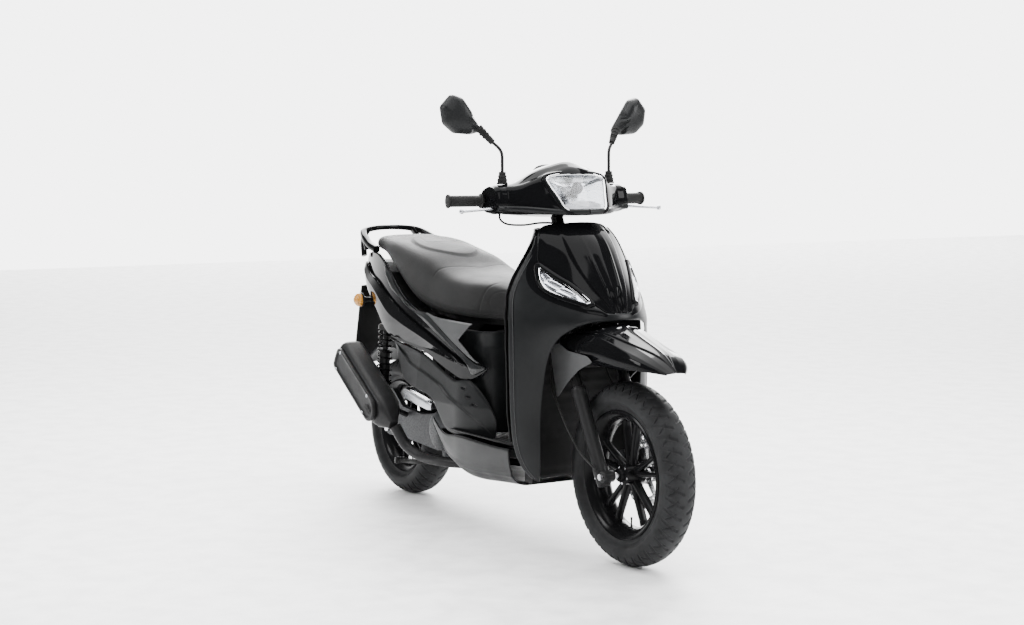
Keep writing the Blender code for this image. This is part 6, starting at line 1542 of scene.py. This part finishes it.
# ---------------------------------------------------------------- engine, exhaust, suspension, stands
@dataclass
class EngineUnit:
    """The swinging engine with its belt case, cylinder, air box and arm."""

    crank: tuple[float, float] = (-0.300, 0.270)

    def build(self) -> None:
        """Build the unit in cast grey and black, with fins, bolts and lids."""
        cx, cz = self.crank
        centre = np.array([cx, 0, cz])
        case = Shape()
        drum = ((0, -.104), (.050, -.104), (.062, -.100), (.073, -.070), (.079, -.066), (.080, -.060),
            (.080, .074), (0, .074))
        case.grid(revolve(drum, centre, ACROSS, 80), True)
        case.box((-.150, 0, .282), (.120, .086, .080), None, 5.0)
        case.solid(sweep(np.array([(-.2, y, .362) for y in np.linspace(-.06, .06, 7)]),
            squared(2, 30) * .022, up=UP))
        case.box((-.215, 0, .332), (.070, .078, .064), None, 4.0)
        arm = softened(((-.3, .202), (-.29, .328), (-.42, .31), (-.56, .32), (-.618, .364), (-.64, .376),
            (-.662, .36), (-.688, .252), (-.688, .224), (-.668, .21), (-.56, .216), (-.42, .208)), .014)
        case.slab(np.stack([arm[:, 0], np.full(len(arm), -.0945), arm[:, 1]], axis=-1), ACROSS * 0.019, 0.0)
        for side in (1, -1):
            case.box((-.335, .053 * side, .186), (.024, .013, .054))
        case.solid(sweep(np.array([(-.335, y, .165) for y in np.linspace(-.064, .064, 5)]),
            squared(2, 16) * .0055))
        case.piece("engine_castings", ALLOY_DARK, "engine", ["engine_case"], crease=38, bevel=0.0008)
        fins = Shape()
        for x in np.linspace(-0.205, -0.082, 15):
            fins.box((x, 0, .282), (.0022, .091, .089), None, 9.0)
        fins.box((-.052, 0, .282), (.027, .077, .075), None, 5.0)
        fins.piece("cylinder_fins", HEAT, "engine", crease=30)
        self.belt_case()
        pipe = curve_through([(-.64, -.11, .36), (-.64, -.15, .36)], 6)
        Shape().solid(sweep(pipe[:4], squared(2, 18) * 0.006)).piece("shock_bolt", STEEL, "engine")
        nut = revolve(((0, 0), (.015, 0), (.016, .002), (.016, .009), (.012, .011), (0, .011)),
            REAR_AXLE + ACROSS * -0.0940, -ACROSS, 6)
        Shape().grid(nut, True).piece("axle_nut", STEEL, "engine", crease=20)

    def belt_case(self) -> None:
        """Build the belt case with a raised lid and bolts, and the air box above it."""
        def outline(front: float, rear: float) -> Array:
            """Give the case's side view for its two end radii."""
            a, b = np.radians(np.linspace(-84, 96, 40)), np.radians(np.linspace(96, 276, 40))
            one = np.stack([self.crank[0] + front * np.cos(a), self.crank[1] + front * np.sin(a)], axis=-1)
            two = np.stack([REAR_AXLE[0] + rear * np.cos(b), REAR_AXLE[2] + rear * np.sin(b)], axis=-1)
            return resampled(np.vstack([one, two]), 160)

        rings = []
        for y, grow in ((.075, 0.0), (.120, 0.0), (.128, -.001), (.130, -.007), (.141, -.011),
                (.1465, -.018), (.1490, -.030), (.1492, -.050)):
            flat = outline(.0855 + grow, .0735 + grow)
            rings.append(np.stack([flat[:, 0], np.full(160, y), flat[:, 1]], axis=-1))
        Shape().solid(np.stack(rings)).piece("belt_case", ALLOY_DARK, "engine", crease=35)
        bolts = Shape()
        for x, z in outline(.0800, .0680)[::16]:
            bolts.grid(revolve(((0, 0), (.005, 0), (.0058, .001), (.0058, .005), (0, .0055)), (x, .129, z),
                ACROSS, 8), True)
        bolts.piece("belt_case_bolts", STEEL, "engine", crease=20)
        box = Shape().box((-.458, .110, .352), (.178, .068, .098), None, 5.0)
        box.slab(softened(np.array([(-.535, .1435, .312), (-.381, .1435, .312), (-.381, .1435, .392),
            (-.535, .1435, .392)]), .014), ACROSS * 0.0018, 0.0)
        box.piece("air_box", DARK, "engine", crease=35)


@dataclass
class Exhaust:
    """The pipe, the muffler and its dished shield with four screws."""

    rear: tuple[float, float] = (-0.735, 0.497)
    front: tuple[float, float] = (-0.428, 0.302)
    tall: float = 0.108

    def build(self) -> None:
        """Build the muffler along its centre line, the pipe and the shield."""
        rear, front = np.array([self.rear[0], 0, self.rear[1]]), np.array([self.front[0], 0, self.front[1]])
        along = unit(front - rear)
        up = np.array([-along[2], 0, along[0]])
        length = float(np.linalg.norm(front - rear))
        at = np.array([0, .004, .012, .020, length - .060, length - .040, length - .012, length + .012,
            length + .030])
        size = np.array([.74, .90, .985, 1.0, 1.0, .97, .82, .50, .32])
        path = rear + along * at[:, None] + ACROSS * -0.212
        can = Shape().solid(sweep(path, squared(3.4, 64) * (.046, self.tall / 2), size, up=up))
        pipe = curve_through([(-.085, -.022, .2225), (-.076, -.052, .2), (-.11, -.105, .19),
            (-.2, -.145, .188), (-.3, -.16, .19), (-.372, -.18, .218), (-.405, -.205, .28)], 120)
        can.solid(sweep(pipe, squared(2, 28), np.linspace(.014, .019, 120)))
        can.solid(sweep(curve_through([(-.52, -.099, .296), (-.52, -.2, .345)], 6), squared(2, 20) * .009))
        can.box((-.086, -.020, .2280), (.034, .034, .010), None, 4.0)
        can.piece("muffler_body", HEAT, "engine", ["exhaust"], crease=40)
        outlet = revolve(((.008, 0), (.012, 0), (.0135, .003), (.0135, .01), (.008, .01)),
            rear + ACROSS * -0.212 + up * 0.020 - along * 0.004, along, 28)
        Shape().grid(outlet, True, True).piece("muffler_outlet", HEAT, "engine")
        self.shield(rear, along, up, length)

    def shield(self, rear: Array, along: Array, up: Array, length: float) -> None:
        """Press the shield: a dished plate with a long recess, four screws, and a thin dark plate of
        painted shade where a slot near its front would open.
        """
        outline = softened(((.016, -.04), (length - .04, -.043), (length - .012, 0.0), (length - .04, .043),
            (.016, .04)), 0.020)
        ring = resampled(outline, 200)
        middle = np.array([length / 2, 0.0])
        rings = []
        for share, y in ((1.0, -.2583), (1.0, -.264), (.985, -.2690), (.94, -.2708), (.80, -.2708),
                (.765, -.2700), (.745, -.2672), (.60, -.2665), (.30, -.2665), (0.0, -.2665)):
            scale = np.array([1 - (1 - share) * 0.30, share]) if share > 0.7 else np.array([share * 1.1,
                share])
            flat = middle + (ring - middle) * scale
            rings.append(rear + along * flat[:, :1] + up * flat[:, 1:] + ACROSS * y)
        Shape().grid(np.stack(rings), True).piece("muffler_shield", HOT_SHIELD, "engine", ["muffler_cover"],
            crease=38, face=-ACROSS, wall=0.0012)
        screws = Shape()
        for a, h in ((0.045, 0.034), (0.045, -0.034), (length - .085, 0.035), (length - .085, -0.035)):
            head = ((0, 0), (.0048, 0), (.0055, .0012), (.0050, .0026), (.0022, .0028), (.0018, .0012),
                (0, .0012))
            screws.grid(revolve(head, rear + along * a + up * h + ACROSS * -0.2700, -ACROSS, 24), True)
        screws.piece("shield_screws", ALLOY, "engine", crease=30)
        # Painted shade: the slot is not cut through; a thin dark plate laid on the shield stands in for the
        # shade inside it.
        slot = softened(((-.02, -.008), (.02, -.008), (.02, .008), (-.02, .008)), 0.0075)
        slot_shade_patch = rear + along * (length - .060 + slot[:, :1]) + up * slot[:, 1:] + ACROSS * -0.2710
        Shape().slab(slot_shade_patch, ACROSS * -0.0004, 0.0).piece("shield_slot_painted_shade", DARK, "engine")


@dataclass
class Suspension:
    """The rear shock absorber with its coil spring."""

    foot: tuple[float, float, float] = (-0.640, -0.130, 0.360)
    top: tuple[float, float, float] = (-0.600, -0.130, 0.630)
    spring_r: float = 0.0240
    wire_r: float = 0.0030
    turns: float = 9.0

    def build(self) -> None:
        """Build the body, the rod and the spring."""
        foot, top = np.array(self.foot), np.array(self.top)
        up, length = unit(top - foot), float(np.linalg.norm(top - foot))
        body = ((.0, .012), (.0150, .012), (.0185, .018), (.0185, .030), (.0285, .033), (.0285, .0395),
            (.0185, .0405), (.0185, .146), (.0165, .150), (.0118, .150))
        shape = Shape().grid(revolve(body, foot, up, 48), True)
        eye = ((.0066, -.009), (.0150, -.009), (.016, -.008), (.016, .008), (.0150, .009), (.0066, .009))
        shape.grid(revolve(eye, foot, ACROSS, 32), True, True)
        shape.piece("damper_body", TUBES, "shock_lower", ["shock_body"], crease=40)
        rod = ((0, .101), (.0098, .101), (.0100, length - .048), (.0285, length - .0475),
            (.0285, length - .036), (.0240, length - .032), (.0150, length - .028), (.0120, length - .012),
            (0, length - .012))
        shape = Shape().grid(revolve(rod, foot, up, 48), True).grid(revolve(eye, top, ACROSS, 32), True,
            True)
        shape.piece("damper_rod", TUBES, "shock_upper", ["shock_rod"], crease=40)
        low, high = 0.0435, length - 0.0515
        t = np.linspace(0, 1, 1100)
        rise = low + (high - low) * (0.5 - 0.5 * np.cos(t * math.pi)) * 0.12 + (high - low) * t * 0.88
        a = t * math.tau * self.turns
        side, other = ACROSS, np.cross(ACROSS, up)
        path = foot + up * rise[:, None] + self.spring_r * (np.cos(a)[:, None] * side + np.sin(a)[:,
            None] * other)
        spring = Shape().solid(sweep(path, squared(2, 12) * self.wire_r, up=up)).piece("coil_spring", PAINT,
            "shock_lower", ["shock_spring"], crease=60)
        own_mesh(spring)


@dataclass
class Stands:
    """The centre stand and the passenger's footrests."""

    pivot: tuple[float, float, float] = (-0.335, 0.0, 0.165)

    def build(self) -> None:
        """Build the stand's legs and feet, and both pegs."""
        x, _, z = self.pivot
        leg = curve_through([(x - .002, .033, z), (x - .03, .036, z - .006), (x - .062, .068, z - .012),
            (x - .105, .098, z - .018), (x - .17, .104, z - .024), (x - .2, .12, z - .022)], 80)
        shape = Shape().solid(sweep(leg, squared(2, 20) * 0.0085))
        shape.box((x - .200, .118, z - .024), (.014, .040, .021))
        shape = both(shape)
        tube = ((.0061, -.044), (.0115, -.044), (.0115, .044), (.0061, .044))
        shape.grid(revolve(tube, self.pivot, ACROSS, 32), True, True)
        cross = np.array([(x - .105, y, z - .018) for y in np.linspace(-.098, .098, 5)])
        shape.solid(sweep(cross, squared(2, 16) * 0.0065)).piece("stand_legs", TUBES, "stand",
            ["centre_stand"])
        for side, name in ((1, "left"), (-1, "right")):
            at = np.array([-.006, .012, .060, .100, .150, .175, .186, .193])
            low = np.interp(at, (-.006, .012, .1, .175, .193), (.3785, .3785, .370, .364, .366))
            high = np.interp(at, (-.006, .012, .1, .175, .193), (.4130, .4130, .402, .392, .386))
            half = np.interp(at, (-.006, .012, .1, .175, .193), (.009, .011, .014, .013, .008))
            centre = 0.196 + 0.06 * np.maximum(at - 0.02, 0)
            path = np.stack([-0.335 + at, centre, (low + high) / 2], axis=-1)
            peg = Shape().solid(sweep(path, squared(5, 36), np.stack([half, (high - low) / 2], axis=-1)))
            if side < 0:
                peg = peg.mirrored()
            peg.piece(f"peg_{name}", ALLOY, f"footrest_{name}", [f"passenger_footrest_{name}"], crease=40,
                bevel=0.0006)


@dataclass
class Cables:
    """The brake hose and the speedometer cable, fixed in place; they do not follow the fork."""

    def build(self) -> None:
        """Sweep both along their routes."""
        hose = [(.238, -.185, 1.0085), (.240, -.184, .985), (.252, -.165, .9705), (.272, -.120, .968),
            (.292, -.070, .974), on_steer(.785, .037, -.028), on_steer(.740, .039, .002), on_steer(.660,
            .038, .014), on_steer(.570, .036, .022), on_steer(.490, .014, .040), (.412, .060, .632),
            (.398, .084, .560), (.415, .100, .500), (.462, .116, .440), (.518, .116, .385),
            (.549, .092, .348), (.553, .084, .338)]
        cable = [(.652, -.1135, .285), (.630, -.119, .300), (.580, -.124, .330), (.520, -.124, .385),
            (.462, -.1215, .450), (.434, -.1205, .488), (.404, -.104, .540), (.398, -.080, .585),
            (.408, -.062, .632), on_steer(.490, .014, -.042), on_steer(.570, .034, -.026), on_steer(.660,
            .038, -.018), on_steer(.735, .034, -.016), on_steer(.790, .0195, -.015), on_steer(.850, .0195,
            -.015), (.262, -.015, 1.050), (.238, -.015, 1.085), (.2208, -.015, 1.0996)]
        for name, node, points, radius in (("brake_line", "brake_hose", hose, 0.0032), ("dial_cable",
                "speedo_cable", cable, 0.0028)):
            path = curve_through(points, 420)
            made = Shape().solid(sweep(path, squared(2, 12) * radius, up=ACROSS)).piece(name, HOSE,
                "steering", [node], crease=60)
            made.parent = None
            made.matrix_world = Matrix.Identity(4)
            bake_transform(made)


# ---------------------------------------------------------------- studio
@dataclass
class Studio:
    """A pale floor, a bright world backdrop, soft lights and the camera."""

    eye: tuple[float, float, float] = (4.965, -2.999, 1.2)
    yaw: float = 148.85
    pitch: float = -5.13
    lens: float = 64.85
    dim: float = 0.22
    bright: float = 5.5

    def build(self) -> None:
        """Build the floor, the lights, the world and the camera."""
        self.floor()
        self.light("overhead", (0.0, 0.2, 5.0), 6.0, 720)
        self.light("left_strip", (3.6, 3.4, 2.6), 2.0, 200)
        self.light("right_strip", (-1.6, -4.2, 2.9), 1.6, 150)
        self.light("fill", (4.6, -2.2, 3.4), 2.6, 110)
        self.light("far_floor", (-17.0, 10.4, 13.0), 16.0, 15000)
        self.backdrop()
        data = bpy.data.cameras.new("camera")
        data.lens, data.sensor_width = self.lens, 36.0
        camera = bpy.data.objects.new("camera", data)
        camera.location = self.eye
        camera.rotation_euler = (math.radians(90 + self.pitch), 0, math.radians(self.yaw - 90))
        bpy.context.scene.collection.objects.link(camera)
        bpy.context.scene.camera = camera

    def backdrop(self) -> None:
        """Light the space: bright behind the scooter, and much dimmer to its sides and front.

        The brightness follows the angle between a direction and the camera's own.
        """
        world = bpy.data.worlds.new("studio")
        bpy.context.scene.world = world
        world.use_nodes = True
        tree = world.node_tree
        place = tree.nodes.new("ShaderNodeTexCoord")
        dot = tree.nodes.new("ShaderNodeVectorMath")
        dot.operation = "DOT_PRODUCT"
        yaw = math.radians(self.yaw)
        dot.inputs[1].default_value = (math.cos(yaw), math.sin(yaw), 0.0)
        ramp = tree.nodes.new("ShaderNodeMapRange")
        ramp.interpolation_type = "SMOOTHSTEP"
        for key, value in (("From Min", 0.55), ("From Max", 0.92), ("To Min", self.dim),
                ("To Max", self.bright)):
            ramp.inputs[key].default_value = value
        tree.links.new(place.outputs["Generated"], dot.inputs[0])
        tree.links.new(dot.outputs["Value"], ramp.inputs["Value"])
        tree.links.new(ramp.outputs["Result"], tree.nodes["Background"].inputs["Strength"])
        tree.nodes["Background"].inputs["Color"].default_value = (1.0, 1.0, 1.0, 1.0)

    @staticmethod
    def floor() -> None:
        """Lay a wide flat floor of pale paper."""
        x, y = np.meshgrid(np.linspace(-13, 10, 40), np.linspace(-16, 16, 40), indexing="ij")
        mesh = bpy.data.meshes.new("studio_floor")
        shape = Shape().grid(np.stack([x, y, 0 * x], axis=-1))
        mesh.from_pydata(np.concatenate(shape.verts).tolist(), [], np.concatenate(shape.quads).tolist())
        made = bpy.data.objects.new("studio_floor", mesh)
        bpy.context.scene.collection.objects.link(made)
        mesh.materials.append(Finish("studio_paper", "", (.93, .93, .933), 0.60).material())

    @staticmethod
    def light(name: str, at: Sequence[float], size: float, power: float) -> None:
        """Hang a square soft light that faces the scooter."""
        data = bpy.data.lights.new(name, "AREA")
        data.size, data.energy = size, power
        made = bpy.data.objects.new(name, data)
        made.location = at
        made.rotation_euler = (Vector((0, 0, .5)) - Vector(at)).to_track_quat("-Z", "Y").to_euler()
        bpy.context.scene.collection.objects.link(made)


def main() -> None:
    """Build the scooter from front to back, then the studio."""
    logging.basicConfig(level=logging.INFO, format="%(name)s: %(message)s")
    front = Wheel("front", "front_wheel", FRONT_AXLE, 0.266, 0.110, 0.187, 0.0475)
    rear = Wheel("rear", "rear_wheel", REAR_AXLE, 0.2364, 0.120, 0.160, 0.060, pattern=40)
    for assembly in (FrontBody(), HandlebarUnit(), Mirrors(), FrontFork(), Mudguard(), front, rear, Seat(),
            SidePanels(), FloorAndBelly(), Tail(), EngineUnit(), Exhaust(), Suspension(), Stands(),
            Cables(), Studio()):
        assembly.build()


if __name__ == "__main__":
    main()
